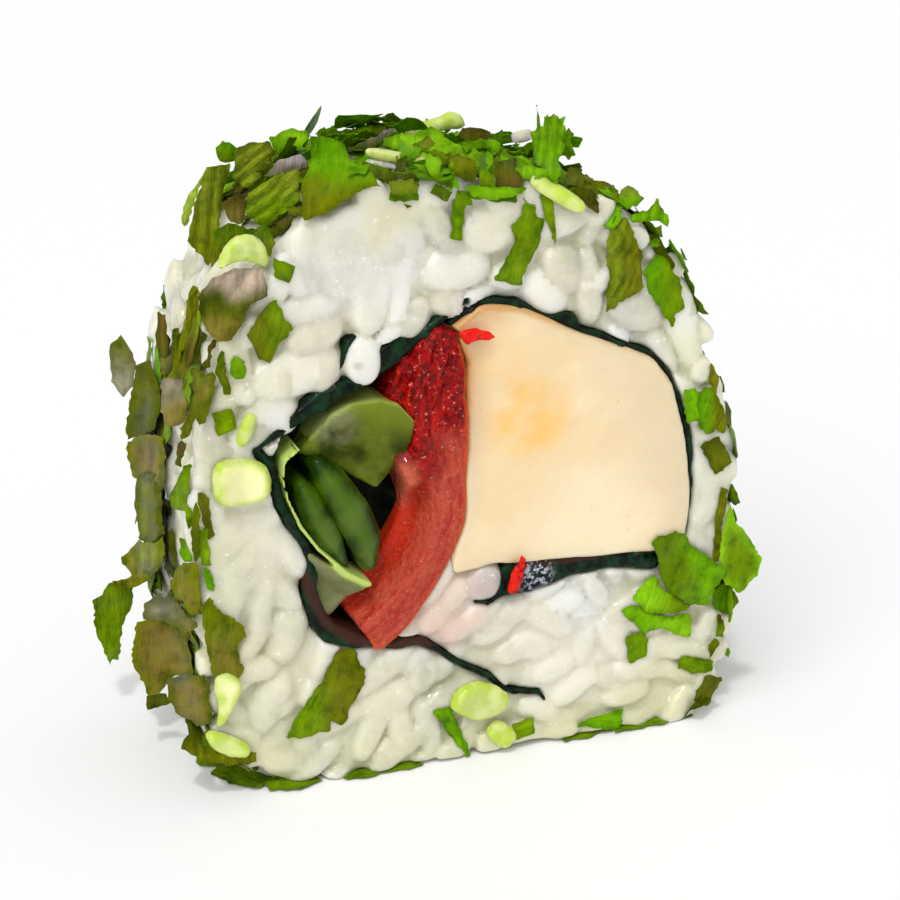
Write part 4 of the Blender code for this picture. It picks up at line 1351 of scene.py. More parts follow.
# Flakes drawn in place on the DRAWN_AT plane and laid back on the roll: tones from top to bottom, tone
# of the rim, distance off the rice, deepest y, depth of ribs (below 0 where they slant), outline (x, z).
SEEN_FLAKES = (
    # the left side, from the top down
    ("olive dark", "dark", 0.8, 8.0, 0.05, ((-26.0, 36.0), (-24.9, 36.2), (-24.3, 34.5), (-24.4, 32.2),
     (-24.8, 30.9), (-25.6, 30.6), (-26.8, 30.3), (-26.9, 31.3), (-26.5, 32.8), (-26.3, 34.4))),
    ("grey khaki", None, 0.5, 0.0, 0.0, ((-24.1, 34.6), (-22.7, 34.6), (-22.4, 32.0), (-22.7, 31.3),
     (-23.4, 31.0), (-24.0, 31.2), (-24.3, 32.4))),
    ("dark olive", None, 0.5, -5.0, 0.0, ((-22.1, 34.2), (-21.5, 34.2), (-21.7, 31.8), (-22.3, 30.2),
     (-22.9, 29.9), (-22.8, 30.9), (-22.2, 32.0))),
    ("brown khaki", "olive", 0.8, 8.0, 0.08, ((-26.9, 30.2), (-26.0, 30.6), (-24.9, 30.5), (-24.2, 30.2),
     (-24.1, 29.2), (-24.4, 26.4), (-25.9, 26.4), (-26.5, 27.6), (-26.9, 29.0))),
    ("olive olive", "dark", 1.0, 8.0, 0.08, ((-26.2, 27.8), (-24.6, 27.6), (-24.6, 24.4), (-24.4, 22.9),
     (-25.0, 22.3), (-26.4, 22.6), (-26.6, 24.4), (-26.4, 26.6))),
    ("brown dark", None, 0.4, -5.0, 0.0, ((-22.9, 29.9), (-22.6, 29.7), (-22.8, 28.8), (-23.1, 27.9),
     (-23.4, 28.2), (-23.2, 29.4))),
    ("green green", None, 0.4, -4.0, 0.0, ((-22.7, 27.9), (-22.3, 27.9), (-22.4, 26.5), (-22.4, 25.1),
     (-22.2, 24.0), (-22.6, 22.8), (-22.9, 24.3), (-23.9, 24.8), (-23.9, 25.9), (-23.4, 26.7),
     (-23.1, 27.3))),
    ("olive dark", None, 0.4, -6.0, 0.0, ((-22.1, 25.1), (-21.7, 24.3), (-21.9, 22.8), (-21.9, 20.6),
     (-22.3, 20.3), (-22.5, 21.6), (-22.4, 23.4))),
    ("green bright", None, 0.4, -4.0, 0.0, ((-23.3, 22.3), (-22.6, 21.9), (-22.5, 20.3), (-23.0, 20.3),
     (-23.4, 21.2))),
    ("ribbed khaki", "olive", 1.2, 9.0, 0.12, ((-26.5, 22.6), (-27.8, 21.2), (-27.5, 20.6), (-27.2, 19.8),
     (-28.6, 19.6), (-28.3, 19.2), (-27.0, 18.9), (-25.8, 19.3), (-24.8, 20.3), (-24.5, 21.3),
     (-24.6, 22.6), (-25.4, 22.2))),
    ("green green", None, 1.0, 9.6, 0.0, ((-28.8, 19.6), (-27.0, 19.0), (-27.0, 18.0), (-27.5, 17.0),
     (-27.9, 16.0), (-28.1, 14.5), (-28.4, 13.2), (-28.8, 13.4), (-29.1, 12.9), (-29.9, 15.6),
     (-30.1, 17.0), (-30.0, 18.3), (-29.4, 18.6))),
    ("olive khaki", "olive", 0.7, -2.0, 0.0, ((-24.2, 18.6), (-23.9, 19.9), (-23.3, 20.3), (-22.2, 20.1),
     (-21.9, 19.2), (-22.1, 17.6), (-21.9, 16.6), (-22.0, 15.9), (-22.9, 16.2), (-23.9, 17.8))),
    ("khaki khaki", "olive", 0.6, 4.0, 0.0, ((-26.9, 15.9), (-25.6, 16.2), (-24.4, 15.7), (-23.9, 15.3),
     (-23.3, 14.2), (-22.9, 12.6), (-22.8, 11.0), (-24.4, 11.1), (-25.6, 9.9), (-26.4, 9.8), (-26.8, 11.2),
     (-27.4, 12.8), (-27.4, 13.8), (-27.1, 14.8))),
    ("grey khaki", "dark", 1.0, 2.0, 0.0, ((-26.3, 17.4), (-25.2, 18.1), (-24.9, 17.6), (-24.5, 17.9),
     (-24.0, 18.1), (-23.9, 17.3), (-23.4, 16.5), (-22.7, 15.6), (-22.2, 15.0), (-23.2, 14.5),
     (-24.0, 15.3), (-25.4, 15.9), (-26.5, 16.2))),
    ("green khaki", "olive", 0.5, -7.5, 0.0, ((-22.0, 16.3), (-21.7, 16.9), (-21.2, 17.2), (-20.9, 16.3),
     (-19.6, 15.2), (-18.7, 14.2), (-18.7, 13.5), (-19.3, 13.0), (-19.1, 11.5), (-18.9, 10.9), (-19.5, 9.9),
     (-21.4, 10.9), (-21.7, 13.0))),
    ("dark dark", None, 0.4, 3.0, 0.0, ((-26.6, 9.9), (-25.0, 9.9), (-24.6, 9.0), (-25.8, 8.7),
     (-26.5, 8.8))),
    ("khaki khaki", "dark", 1.0, -1.0, 0.0, ((-24.9, 11.1), (-23.4, 11.2), (-21.9, 10.9), (-21.6, 9.8),
     (-21.8, 8.8), (-21.5, 7.2), (-21.8, 6.7), (-22.6, 6.6), (-23.4, 7.4), (-24.3, 8.3), (-24.9, 9.4))),
    ("dark olive", None, 0.4, -2.0, 0.05, ((-23.6, 7.6), (-22.7, 7.3), (-22.2, 6.2), (-22.4, 5.0),
     (-21.0, 4.0), (-18.2, 3.6), (-18.0, 2.7), (-20.4, 2.9), (-22.6, 3.8), (-24.1, 5.1), (-23.4, 6.2))),
    # the top left corner
    ("lime lime", None, 0.3, 7.0, 0.0, ((-20.4, 49.3), (-21.8, 47.4), (-22.3, 46.4), (-21.9, 45.7),
     (-21.0, 48.0))),
    ("ribbed olive", None, 0.6, 4.0, 0.1, ((-20.3, 49.7), (-18.4, 49.9), (-19.1, 47.9), (-19.5, 45.5),
     (-20.0, 43.3), (-20.4, 42.7), (-21.2, 44.0), (-21.7, 44.5), (-21.3, 46.8), (-20.6, 48.9))),
    ("bright green", None, 0.6, 6.0, 0.0, ((-19.5, 51.2), (-18.9, 51.5), (-18.0, 50.9), (-18.1, 50.1),
     (-19.3, 50.1))),
    ("ribbed ribbed", None, 0.7, 5.0, -0.1, ((-18.0, 51.1), (-15.6, 51.3), (-15.2, 50.5), (-16.9, 48.1),
     (-17.7, 48.1), (-18.4, 49.0))),
    ("vivid bright", None, 0.8, 6.0, 0.0, ((-15.7, 51.6), (-13.9, 52.1), (-12.8, 51.8), (-12.6, 50.5),
     (-15.2, 50.4))),
    ("lilac grey", None, 0.5, -1.0, 0.0, ((-16.2, 48.8), (-15.0, 50.0), (-13.3, 50.1), (-12.9, 49.3),
     (-14.8, 48.9))),
    ("brown khaki", None, 0.8, -4.0, 0.0, ((-19.3, 46.9), (-18.9, 47.5), (-17.6, 47.8), (-17.5, 46.5),
     (-17.7, 45.6), (-18.5, 45.7))),
    ("ribbed green", None, 0.9, -5.0, -0.1, ((-17.4, 47.6), (-15.7, 48.7), (-13.5, 49.1), (-13.5, 46.9),
     (-15.0, 45.9), (-16.5, 45.2), (-17.5, 46.3))),
    ("bright olive", None, 1.1, -4.5, 0.0, ((-12.7, 51.5), (-11.7, 51.4), (-10.2, 50.8), (-9.8, 49.5),
     (-8.2, 48.5), (-7.3, 47.4), (-8.9, 47.4), (-11.4, 45.8), (-13.4, 45.4), (-13.4, 47.9), (-12.9, 49.3),
     (-12.6, 50.4))),
    ("brown brown", None, 0.6, -8.0, 0.0, ((-15.3, 45.4), (-13.9, 46.1), (-13.8, 45.7), (-15.1, 45.0))),
    ("green olive", None, 0.5, -7.5, 0.0, ((-20.0, 45.3), (-18.7, 45.6), (-16.7, 45.0), (-18.8, 44.1),
     (-20.2, 42.4))),
    ("green olive", None, 0.6, -8.5, 0.0, ((-16.8, 44.8), (-15.9, 45.2), (-15.4, 43.9), (-15.9, 42.9))),
    ("sheen dark khaki", None, 0.9, -6.0, 0.0, ((-20.2, 41.7), (-18.6, 42.4), (-16.4, 42.2), (-16.1, 40.2),
     (-17.5, 39.4), (-18.1, 38.1), (-18.9, 37.2), (-19.9, 36.9), (-20.8, 38.1), (-21.3, 39.7),
     (-21.2, 40.6))),
    # a sheaf of narrow pieces below it
    ("brown khaki dark", None, 0.4, 4.0, 0.1, ((-24.3, 38.4), (-23.5, 38.0), (-23.3, 37.6), (-23.45, 36.9),
     (-23.35, 35.7), (-23.55, 34.9), (-24.05, 34.7), (-24.15, 36.1))),
    ("dark olive", None, 0.4, 0.0, 0.06, ((-23.2, 37.7), (-22.5, 38.2), (-22.45, 36.8), (-22.75, 35.2),
     (-23.15, 35.0), (-23.3, 35.9), (-23.3, 37.2))),
    ("khaki brown", "olive", 0.6, 0.0, 0.08, ((-21.5, 41.4), (-21.1, 41.2), (-21.2, 40.0), (-21.1, 39.1),
     (-21.5, 38.3), (-22.0, 37.6), (-22.6, 36.4), (-22.9, 35.6), (-22.8, 37.2), (-22.5, 38.2),
     (-22.2, 39.2), (-22.0, 40.4))),
    ("ribbed dark", None, 0.6, -3.0, 0.08, ((-21.9, 37.9), (-21.3, 38.5), (-21.0, 37.9), (-20.65, 37.6),
     (-20.9, 36.7), (-21.0, 35.6), (-21.6, 35.6), (-22.2, 35.9), (-22.4, 36.6))),
    ("brown dark", None, 0.5, -6.0, 0.0, ((-20.3, 37.3), (-20.1, 37.1), (-20.4, 36.1), (-20.45, 35.2),
     (-20.95, 34.9), (-21.3, 35.5), (-20.75, 35.85), (-20.6, 36.9))),
    ("ribbed khaki olive", "dark", 0.5, -4.0, 0.1, ((-21.9, 35.3), (-21.1, 35.1), (-20.85, 34.7),
     (-20.45, 34.9), (-20.15, 34.6), (-20.4, 33.8), (-20.7, 32.2), (-21.1, 31.0), (-21.6, 30.9),
     (-21.85, 32.3), (-21.9, 33.8))),
    ("olive dark", None, 0.4, -5.0, 0.05, ((-21.3, 41.2), (-21.9, 40.5), (-22.2, 38.0), (-22.0, 35.5),
     (-21.3, 35.8), (-21.2, 38.0))),
    # along the top, from left to right
    ("grey dark", None, 1.0, 1.0, 0.0, ((-10.0, 50.5), (-9.4, 50.5), (-8.0, 51.0), (-6.4, 51.7),
     (-6.1, 51.4), (-7.0, 50.9), (-8.0, 50.4), (-9.9, 50.1))),
    ("vivid bright", None, 1.2, -1.0, 0.0, ((-7.3, 50.9), (-5.9, 51.2), (-4.6, 50.9), (-4.0, 50.4),
     (-4.5, 49.6), (-5.3, 49.2), (-6.0, 49.2), (-6.2, 50.0), (-7.2, 50.3))),
    ("grey brown", None, 1.1, -4.0, 0.0, ((-7.9, 50.2), (-6.9, 50.2), (-6.1, 49.9), (-6.1, 49.3),
     (-7.0, 49.6), (-8.0, 49.9))),
    ("green dark", None, 0.9, -5.0, 0.0, ((-8.8, 49.3), (-7.6, 48.9), (-6.6, 48.3), (-4.9, 48.2),
     (-4.7, 47.8), (-6.9, 47.7), (-8.0, 48.3))),
    ("ribbed ribbed", None, 0.5, -8.5, 0.0, ((-6.9, 47.8), (-5.0, 47.8), (-4.8, 46.8), (-6.6, 46.8))),
    ("vivid green", None, 1.2, -4.0, 0.0, ((-4.0, 49.6), (-3.3, 49.8), (-2.7, 48.9), (-2.9, 48.0),
     (-2.2, 47.5), (-2.0, 46.9), (-2.9, 47.3), (-3.9, 48.1))),
    ("olive dark", None, 1.0, -4.0, 0.0, ((-2.6, 49.5), (-1.2, 49.3), (-0.2, 48.6), (-0.2, 47.2),
     (-1.0, 47.3), (-2.2, 48.4))),
    ("brown olive", None, 1.0, 2.0, 0.0, ((-1.1, 51.3), (-0.6, 51.3), (1.0, 50.9), (1.1, 50.4),
     (-0.9, 50.2), (-1.4, 50.9))),
    ("vivid bright", None, 1.4, -2.0, 0.0, ((-1.2, 50.1), (0.3, 50.4), (1.7, 50.0), (1.7, 49.3),
     (0.4, 49.6), (-1.0, 49.5))),
    ("green bright", None, 1.0, 1.0, 0.0, ((1.1, 50.4), (1.9, 51.1), (1.9, 50.1))),
    ("bright green", None, 1.2, -5.0, 0.0, ((0.2, 49.3), (0.6, 49.1), (0.5, 48.0), (1.3, 47.6), (1.3, 46.9),
     (0.9, 46.5), (0.1, 46.9))),
    ("dark brown", None, 1.4, -4.5, 0.0, ((1.3, 48.6), (3.0, 48.8), (3.1, 47.7), (3.6, 47.0), (3.5, 46.6),
     (1.4, 46.7))),
    ("bright vivid", None, 0.5, -8.8, 0.0, ((-1.1, 47.0), (0.6, 46.8), (2.0, 46.6), (3.6, 46.5),
     (3.6, 46.0), (1.0, 45.7), (-0.4, 46.1))),
    ("vivid bright", None, 1.6, -2.5, 0.08, ((4.2, 50.5), (5.1, 50.9), (5.2, 51.6), (6.2, 51.7),
     (6.9, 50.9), (6.9, 50.4), (6.4, 50.0), (6.9, 49.3), (6.4, 48.4), (6.7, 47.5), (6.2, 46.6), (5.0, 47.9),
     (4.6, 48.3), (4.3, 49.4))),
    ("vivid bright", None, 1.3, -5.0, 0.0, ((2.9, 48.0), (3.8, 48.3), (4.6, 48.0), (5.9, 47.5), (6.5, 46.5),
     (5.2, 47.0), (4.4, 47.1), (3.4, 47.0))),
    ("dark olive", None, 0.9, -3.0, 0.0, ((7.0, 47.6), (7.5, 47.8), (8.6, 47.1), (9.2, 46.6), (9.3, 45.7),
     (8.5, 46.0), (7.0, 46.5))),
    ("dark brown", None, 0.8, -6.0, 0.0, ((7.6, 46.2), (9.3, 45.9), (9.7, 44.9), (9.7, 44.1), (8.9, 44.6),
     (7.8, 45.5))),
    ("olive green", None, 0.9, -4.0, 0.0, ((9.4, 46.0), (10.0, 46.3), (10.8, 46.1), (11.3, 45.6),
     (11.3, 44.8), (10.0, 44.8), (9.4, 45.5))),
    ("ribbed bright", None, 1.0, -4.0, 0.0, ((11.5, 45.6), (12.2, 45.9), (12.9, 45.6), (13.5, 44.9),
     (13.0, 44.3), (12.0, 44.3), (11.4, 44.7))),
    ("green bright", None, 1.1, -6.5, 0.08, ((12.4, 43.7), (13.8, 44.0), (14.6, 44.8), (15.5, 43.3),
     (15.6, 42.5), (14.9, 43.0), (13.4, 43.1), (12.4, 43.3))),
    # the lower right corner
    ("green green", "vivid", 0.8, -6.0, 0.0, ((22.1, 18.9), (22.6, 17.4), (23.8, 16.1), (24.8, 14.4),
     (25.2, 13.5), (25.1, 12.2), (23.4, 10.7), (22.0, 11.9), (21.3, 14.1), (21.3, 15.6))),
    ("dark green", None, 0.3, -8.0, 0.0, ((21.5, 9.3), (22.1, 8.1), (22.0, 7.0), (21.3, 7.2), (21.4, 8.6))),
    ("olive dark", None, 0.3, -8.6, 0.0, ((21.3, 7.1), (21.6, 6.4), (20.9, 5.1), (20.6, 6.4))),
)
OVAL_CUTS = (  # middle, direction of its length, the way it faces, length, width, thickness, tone
    ((-18.2, -9.8, 30.3), (0.35, 0.0, 0.9), FACE, 2.6, 1.1, 0.8, "lime"),
    ((2.0, -9.9, 1.9), (0.7, 0.0, -0.7), FACE, 2.8, 1.8, 0.7, "lime"),
    ((6.1, -9.9, 46.0), (0.8, 0.0, -0.6), (0.0, -0.9, 0.4), 4.7, 1.3, 0.6, "lime"),
    ((-5.0, -5.2, 48.6), (1.0, -0.1, -0.25), (0.0, -0.8, 0.6), 4.6, 0.9, 0.7, "cream"),
    ((-5.4, -5.4, 48.0), (1.0, -0.1, -0.35), (0.0, -0.8, 0.6), 3.8, 0.5, 0.4, "lilac"),
    ((9.8, 6.5, 46.9), (1.0, 0.0, 0.15), (0.0, -0.9, 0.4), 1.9, 1.0, 0.4, "lilac"),
)
SHAPED_CUTS = (  # y of its middle, thickness, how far its edge is rounded, tone, outline (x, z)
    (4.6, 1.1, 0.45, "pale", ((-1.1, 48.3), (-0.6, 48.9), (1.8, 49.3), (3.0, 49.8), (3.9, 49.3),
     (4.1, 48.4), (2.3, 48.3), (0.8, 47.8), (-0.4, 47.8))),
    (-9.9, 2.0, 0.6, "cream", ((-20.9, 27.3), (-20.3, 28.2), (-18.0, 28.1), (-17.0, 27.6), (-16.5, 26.6),
     (-16.6, 25.2), (-17.6, 24.6), (-20.3, 24.6), (-20.9, 25.4))),
    (-10.0, 1.4, 0.5, "pale", ((-2.6, 5.3), (-1.9, 6.6), (-0.5, 7.2), (1.3, 6.5), (2.6, 5.4), (2.3, 4.4),
     (1.2, 3.7), (-0.4, 3.6), (-1.7, 4.4))),
    (-9.8, 1.2, 0.5, "pale", ((-22.3, 6.1), (-21.8, 6.5), (-20.4, 5.8), (-18.9, 4.8), (-18.8, 4.0),
     (-19.4, 3.7), (-20.7, 4.1), (-21.9, 5.1))),
    (-10.0, 0.8, 0.4, "cream", ((-21.3, 10.9), (-20.5, 11.3), (-19.8, 10.9), (-19.1, 9.8), (-20.3, 7.6),
     (-20.9, 6.7), (-21.4, 6.8), (-21.1, 8.5), (-21.5, 9.9))),
    (-9.2, 1.1, 0.5, "pale", ((-19.9, 42.3), (-19.4, 43.7), (-18.5, 44.7), (-17.3, 44.8), (-16.3, 44.0),
     (-15.9, 42.7), (-16.4, 42.2), (-17.2, 42.8), (-18.3, 42.9))),
)
SIDE_FLAKES = (  # shape, tones, middle, direction of its length, the way it faces, length, width, curl, ribs
    ("strip", "ribbed brown", (-20.9, -6.0, 36.6), (-0.3, 0.0, -1.0), (-0.8, -0.6, 0.2), 5.4, 1.0, 0.2, 0.1),
    ("strip", "brown dark", (-21.5, 2.6, 33.7), (0.1, 0.0, -1.0), (-0.8, -0.6, 0.1), 4.6, 1.2, 0.1, 0.08),
    ("strip", "dark brown", (-20.9, 0.0, 33.6), (0.1, 0.0, -1.0), (-0.8, -0.6, 0.1), 4.2, 0.9, 0.1, 0.08),
    ("leaf", "grey olive", (-23.6, 8.2, 30.6), (0.1, 0.2, 1.0), (-0.7, -0.8, 0.1), 5.2, 2.6, 0.1, 0),
    ("leaf", "dark olive", (22.3, -7.6, 25.2), (0.15, 0.0, -1.0), (0.7, -0.7, 0.1), 4.4, 1.6, 0.1, 0),
)
BUNDLE = (9.2, -0.6, 46.8)  # a frayed tuft of herb standing on the roll
LAID_UNDER = (  # x, y, direction of its length, length, width: flakes pressed between rice and table
    ((-15.0, -8.6), (1.0, -0.05), 5.0, 2.6),
    ((-8.0, -9.0), (1.0, 0.05), 6.6, 2.0),
    ((10.0, -8.7), (1.0, 0.1), 5.0, 2.0),
    ((16.0, -8.8), (1.0, 0.05), 7.0, 2.0),
    ((-18.6, -6.4), (0.6, -1.0), 5.0, 2.8),
    ((-20.0, -1.0), (0.2, 1.0), 6.0, 2.6),
    ((20.2, 2.0), (0.1, 1.0), 6.0, 2.4),
    ((19.4, -6.0), (0.6, 1.0), 4.0, 2.4),
    ((4.0, 8.6), (1.0, 0.1), 6.0, 2.2),
    ((-10.0, 8.6), (1.0, -0.1), 5.0, 2.2),
    ((14.0, 8.4), (1.0, 0.0), 5.0, 2.4),
)


def coverage(point, y):
    """The chance that a place on the rolled side is covered: less where the photo shows bare rice."""
    x, z = point
    if x < -13 and 33.5 < z < 43:
        return 0.04 if y > -6.0 else 0.0
    if x < -15 and 19.0 < z < 31.5:
        return 0.0 if -8.8 < y < -0.6 else 0.95
    if x < -8 and y < -6.0:
        return 0.3
    return 1.0 if z > 38 else 0.85


def scatter_tone(place):
    """Bright on the top and right, olive and dark on the left."""
    leftness = smoothstep(-8, -18, place[0])
    names = ("vivid", "bright", "green", "olive", "dark", "ribbed", "khaki")
    right_mix = np.array([0.28, 0.34, 0.22, 0.05, 0.05, 0.05, 0.01])
    left_mix = np.array([0.00, 0.04, 0.24, 0.40, 0.14, 0.10, 0.08])
    share = right_mix * (1 - leftness) + left_mix * leftness
    return str(rng.choice(names, p=share / share.sum()))


def scatter(flakes, ground):
    """Chopped leaf pressed all over the rolled side, then looser layers heaped on the top."""
    outline, outline_length = loop_walk(OUTER_LOOP)
    reach = HALF_SLICE - 0.9
    kinds = ("jag", "quad", "leaf", "wedge", "diamond", "strip", "fan")
    for layer, spacing in ((0, 1.9), (1, 1.45), (2, 1.35)):
        for distance, y in scattered((0, -reach), (outline_length, reach), lambda p: True, spacing,
                                     tries=7000):
            point, outward = outline(distance)
            if point[1] < 2.0 and abs(point[0]) < 19 or rng.random() > coverage(point, y):
                continue
            heaped = layer == 2
            if layer and point[1] < (43 if heaped else 38) or heaped and rng.random() < 0.3:
                continue
            big = rng.random() < (0.6, 0.3, 0.15)[layer]
            length = rng.uniform(2.8, 5.2) if big else rng.uniform(1.4, 2.8)
            if point[0] < -14 and layer == 0:
                length = rng.uniform(2.8, 5.6)
            elif layer and y < -4:
                length = rng.uniform(1.1, 1.9)
            width = length * rng.uniform(0.4, 0.8)
            shape = str(rng.choice(kinds))
            up = np.array([outward[0], 0, outward[1]])
            angle = rng.uniform(0, math.pi)
            along = np.array([outward[1] * math.cos(angle), math.sin(angle), -outward[0] * math.cos(angle)])
            lean = (0.15, 0.3, 0.45)[layer]
            facing = up + np.cross(up, along) * rng.normal(0, lean) + along * rng.normal(0, lean / 2)
            facing = facing + np.array([0.0, (0.0, 0.4, 0.7)[layer] * np.sign(y), 0.0])
            at = np.array([point[0], y, point[1]]) + up * RIM_INSET
            corners = rough(cut_outline(shape, length, width), 0.45, 0.12)
            if layer:
                rise = ground.height(at, up)
                at = at + up * ((rise or 0) + rng.uniform(0.2, 0.6) + 0.5 * heaped)
            flakes.add(corners, at, along, facing, scatter_tone(at), rng.uniform(0.12, 0.2), 0.6,
                       rng.uniform(-0.1, 0.3), rng.uniform(-0.1, 0.15), 0.0,
                       ground=None if layer else ground, lift=0.04, crinkle=0.18)


def fringe(flakes):
    """Small bright flakes over the top edge of both cut faces."""
    outline, outline_length = loop_walk(OUTER_LOOP)
    for side in (-1, 1):
        for distance in rng.uniform(0, outline_length, 460):
            point, outward = outline(distance)
            if outward[1] < 0.72 or point[0] < -7.0:
                continue
            point = point + outward * rng.uniform(-0.7, 1.3)
            length = rng.uniform(1.0, 2.3)
            corners = rough(cut_outline(str(rng.choice(("jag", "wedge", "quad", "fan"))), length,
                                        length * rng.uniform(0.4, 0.8)), 0.4, 0.10)
            along = (rng.normal(0, 1), rng.normal(0, 0.3), rng.normal(0, 0.6))
            facing = (rng.normal(0, 0.35), side * rng.uniform(0.5, 1.0), rng.uniform(0.3, 0.9))
            tone = str(rng.choice(("vivid", "bright", "green", "ribbed", "olive"),
                                  p=(0.30, 0.34, 0.20, 0.10, 0.06)))
            y = side * (HALF_SLICE - rng.uniform(0.0, 3.0))
            flakes.add(corners, (point[0], y, point[1]), along, facing, tone, 0.14, 0.5,
                       rng.uniform(-0.1, 0.3), crinkle=0.18)


def make_herbs(ground):
    herbs, loose, cuts = Flakes(), Flakes(), Flakes()
    for side in (-1, 1):
        facing = (0, side, 0)
        level = side * HALF_SLICE
        for shape, tone, (x, z), (dx, dz), length, width in FACE_FLAKES:
            if side == 1 and rng.random() < 0.4:
                continue
            corners = rough(cut_outline(shape, length, width, 0.08), 0.35, 0.09)
            herbs.add(corners, (x, level, z), (dx, 0, dz), facing, tone, 0.16, 0.45,
                      rng.uniform(-0.05, 0.08), ground=ground)
        for tone, to_tone, lift, corners in SHAPED_FLAKES:
            middle = np.mean(corners, axis=0)
            local = (np.array(corners) - middle) * [1, -side]
            herbs.add(rough(local[::-1], 0.32, 0.10), (middle[0], level, middle[1]), (1, 0, 0), facing,
                      tone, 0.17, 0.36, rng.uniform(-0.05, 0.08), to_tone=to_tone, ground=ground,
                      lift=lift, ribs=0.07 if tone == "ribbed" else 0.0, grain=70)
    for tones, rim_tone, off, deepest, ribs, corners in SEEN_FLAKES:
        tone, to_tone = tones.split(maxsplit=1)
        herbs.add(rough(corners[::-1], 0.32, 0.09), None, None, None, tone, 0.18, 0.25 if ribs else 0.4,
                  rng.uniform(-0.05, 0.1), 0.0, abs(ribs), to_tone=to_tone, rim_tone=rim_tone,
                  seen=(off, deepest), grain=35 if ribs < 0 else 85)
    for shape, tones, at, along, facing, length, width, curl, ribs in SIDE_FLAKES:
        tone, to_tone = tones.split()
        corners = rough(cut_outline(shape, length, width, 0.1), 0.5, 0.10)
        herbs.add(corners, at, along, facing, tone, 0.18, 0.3 if ribs else 0.42, curl,
                  rng.uniform(-0.06, 0.06), ribs, to_tone=to_tone)
    for (x, y), (dx, dy), length, width in LAID_UNDER:
        corners = rough(cut_outline("strip", length, width), 0.6, 0.14)
        herbs.add(corners, (x, y, 0.14), (dx, dy, 0), (0, 0, 1), "green", 0.18, 0.6)
    for _ in range(9):
        at = np.array(BUNDLE) + rng.normal(0, 0.6, 3) * [1, 1, 0.6]
        along = np.array([0.15, 0.0, 1.0]) + rng.normal(0, 0.25, 3)
        length = rng.uniform(2.2, 4.2)
        shape = "jag" if rng.random() < 0.5 else "wedge"
        corners = rough(cut_outline(shape, length, rng.uniform(1.0, 1.9)), 0.4, 0.10)
        herbs.add(corners, at + along * length * 0.3, along, (rng.normal(0, 0.5), -1, rng.normal(0, 0.4)),
                  "bright" if rng.random() < 0.5 else "vivid", 0.14, 0.45, 0.2)
    scatter(loose, ground)
    fringe(loose)
    for at, along, facing, length, width, thickness, tone in OVAL_CUTS:
        cuts.add(oval(length, width, rng.uniform(2.3, 3.2)), at, along, facing, tone, thickness, 0.3,
                 rng.uniform(-0.08, 0.02), rng.uniform(-0.06, 0.06), dome=min(width, 2 * thickness) / 2,
                 crinkle=0.05, rim_tone=None if tone == "lilac" else "lime")
    for y, thickness, dome, tone, corners in SHAPED_CUTS:
        middle = np.mean(corners, axis=0)
        cuts.add(rough(corners - middle, 0.35, 0.03, 0.22), (middle[0], y, middle[1]), (1, 0, 0), FACE, tone,
                 thickness, 0.28, rng.uniform(-0.05, 0.0), 0.04, dome=dome, crinkle=0.08, rim_tone="lime")
    herb = herb_look("herb_leaf", 0.035)
    herbs.finish("herb_leaves", herb, "lettuce")
    loose.finish("herb_flakes", herb, "lettuce")
    cuts.finish("onion_cuts", onion_look(), "lettuce")


SHREDS = (  # y of its middle, outline (x, z)
    (-10.35, ((-1.9, 36.3), (-1.3, 36.5), (-0.5, 36.45), (0.0, 36.2), (0.6, 36.0), (1.0, 35.55), (0.6, 35.4),
              (0.0, 35.45), (-0.5, 35.4), (-1.2, 35.25), (-1.6, 35.6), (-1.9, 35.9))),
    (-10.15, ((3.4, 17.5), (3.75, 17.1), (3.75, 16.4), (3.5, 15.4), (3.25, 14.4), (2.95, 14.15),
              (2.35, 14.35), (2.35, 15.1), (2.55, 15.9), (2.8, 16.5), (3.15, 16.8))),
)


def make_shreds():
    """Two shreds of pepper, one lying over the cheese's top corner and one on the nori below it."""
    shreds = Flakes()
    for y, corners in SHREDS:
        middle = np.mean(corners, axis=0)
        shreds.add(rough(corners - middle, 0.3, 0.04, 0.15), (middle[0], y, middle[1]), (1, 0, 0), FACE,
                   "red", 0.5, 0.22, dome=0.3, crinkle=0.2)
    look = Look("pepper_shred", Specular_IOR_Level=0.08, Coat_Weight=0.12, Coat_Roughness=0.08, Roughness=0.3)
    own = look.stored("tone")
    deep = look.mix(look.ramp(look.noise(0.5, detail=3.0), 0.35, 0.55), (0.30, 0.000, 0.000), own)
    look.colour(look.mix(look.ramp(look.noise(0.7), 0.5, 0.7), deep, (0.85, 0.025, 0.006)))
    look.bump(look.noise(0.5, detail=4.0), 0.3)
    shreds.finish("pepper_shreds", look.material, "pepper")


# ---------------------------------------------------------------- stage
FLOOR_REACH = 1.2  # in metres
FLOOR_DROP = 0.02  # just under the rice, which comes down to 0
CAMERA_LENS, CAMERA_SENSOR = 83.64, 36
SKY = 0.55  # what lights the piece
BACKDROP = 1.0  # what the camera sees behind it
SUNS = (  # name, where it shines from, strength, how wide it looks in degrees
    ("key", (-0.55, -0.62, 0.75), 1.40, 45),
    ("glint", (-0.25, -0.45, 0.85), 0.80, 5),
)


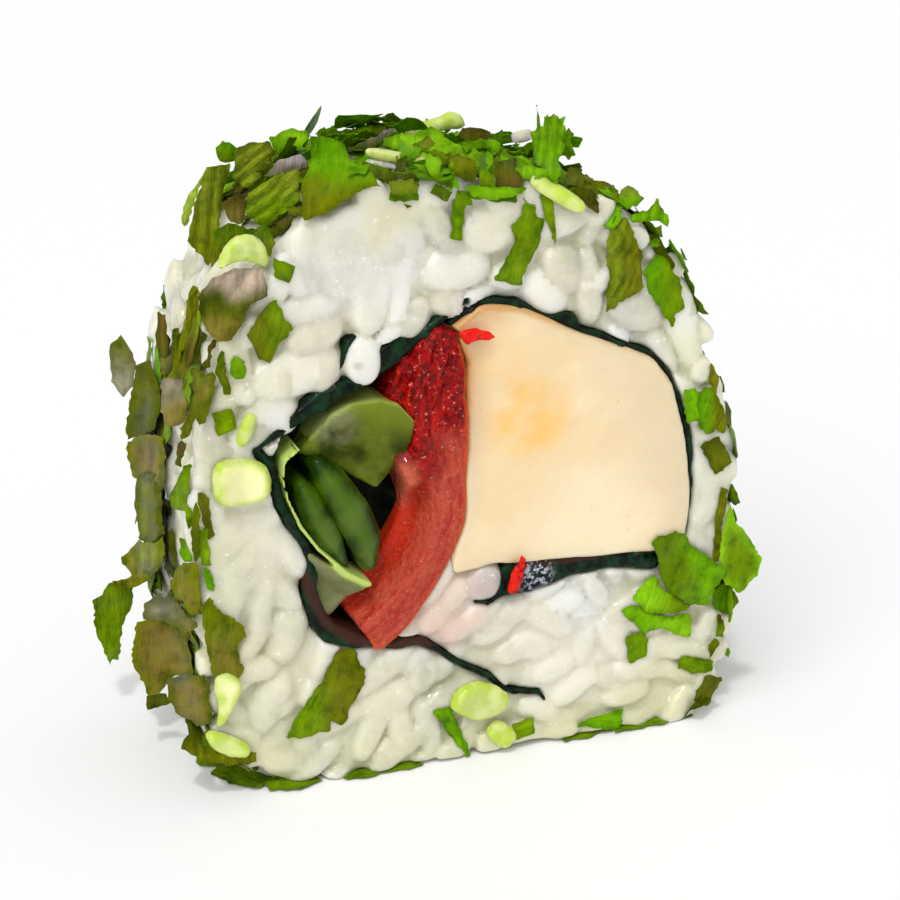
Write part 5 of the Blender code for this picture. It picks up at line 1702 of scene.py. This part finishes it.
def make_floor():
    mesh = bpy.data.meshes.new("floor")
    corners = [(x * FLOOR_REACH, y * FLOOR_REACH, 0) for x, y in ((-1, -1), (1, -1), (1, 1), (-1, 1))]
    mesh.from_pydata(corners, [], [(0, 1, 2, 3)])
    floor = in_scene("floor", mesh)
    floor.location.z = -FLOOR_DROP * MM
    paper = Look("floor_paper", Roughness=0.7)
    paper.shader.inputs["Base Color"].default_value = (0.97, 0.97, 0.98, 1)
    mesh.materials.append(paper.material)


def make_sky():
    """A white surround that lights the piece less than it shows behind it."""
    world = bpy.data.worlds.new("studio")
    world.use_nodes = True
    nodes, links = world.node_tree.nodes, world.node_tree.links
    nodes["Background"].inputs["Color"].default_value = (1.0, 1.0, 1.0, 1)
    seen = nodes.new("ShaderNodeLightPath").outputs["Is Camera Ray"]
    strength = nodes.new("ShaderNodeMapRange")
    strength.inputs["To Min"].default_value, strength.inputs["To Max"].default_value = SKY, BACKDROP
    links.new(seen, strength.inputs["Value"])
    links.new(strength.outputs["Result"], nodes["Background"].inputs["Strength"])
    bpy.context.scene.world = world


def make_suns():
    for name, source, strength, angle in SUNS:
        light = bpy.data.lights.new(name, "SUN")
        light.energy = strength
        light.angle = math.radians(angle)
        sun = in_scene(name, light)
        sun.location = Vector(source) * 0.1
        sun.rotation_euler = (-Vector(source)).to_track_quat("-Z", "Y").to_euler()


def make_camera():
    lens = bpy.data.cameras.new("camera")
    lens.sensor_width = CAMERA_SENSOR
    lens.lens = CAMERA_LENS
    lens.clip_start, lens.clip_end = 0.005, 5
    camera = in_scene("camera", lens)
    camera.location = Vector(EYE) * MM
    camera.rotation_euler = Vector(-TOWARD_CAMERA).to_track_quat("-Z", "Y").to_euler()
    bpy.context.scene.camera = camera
    bpy.context.scene.view_settings.view_transform = "Standard"


# ---------------------------------------------------------------- the piece
rice_pieces = make_rice()
make_cheese()
make_pepper()
make_nori()
make_stems()
make_fold()
make_wrap()
make_heart()
make_herbs(Ground(rice_pieces))
make_shreds()
make_floor()
make_sky()
make_suns()
make_camera()
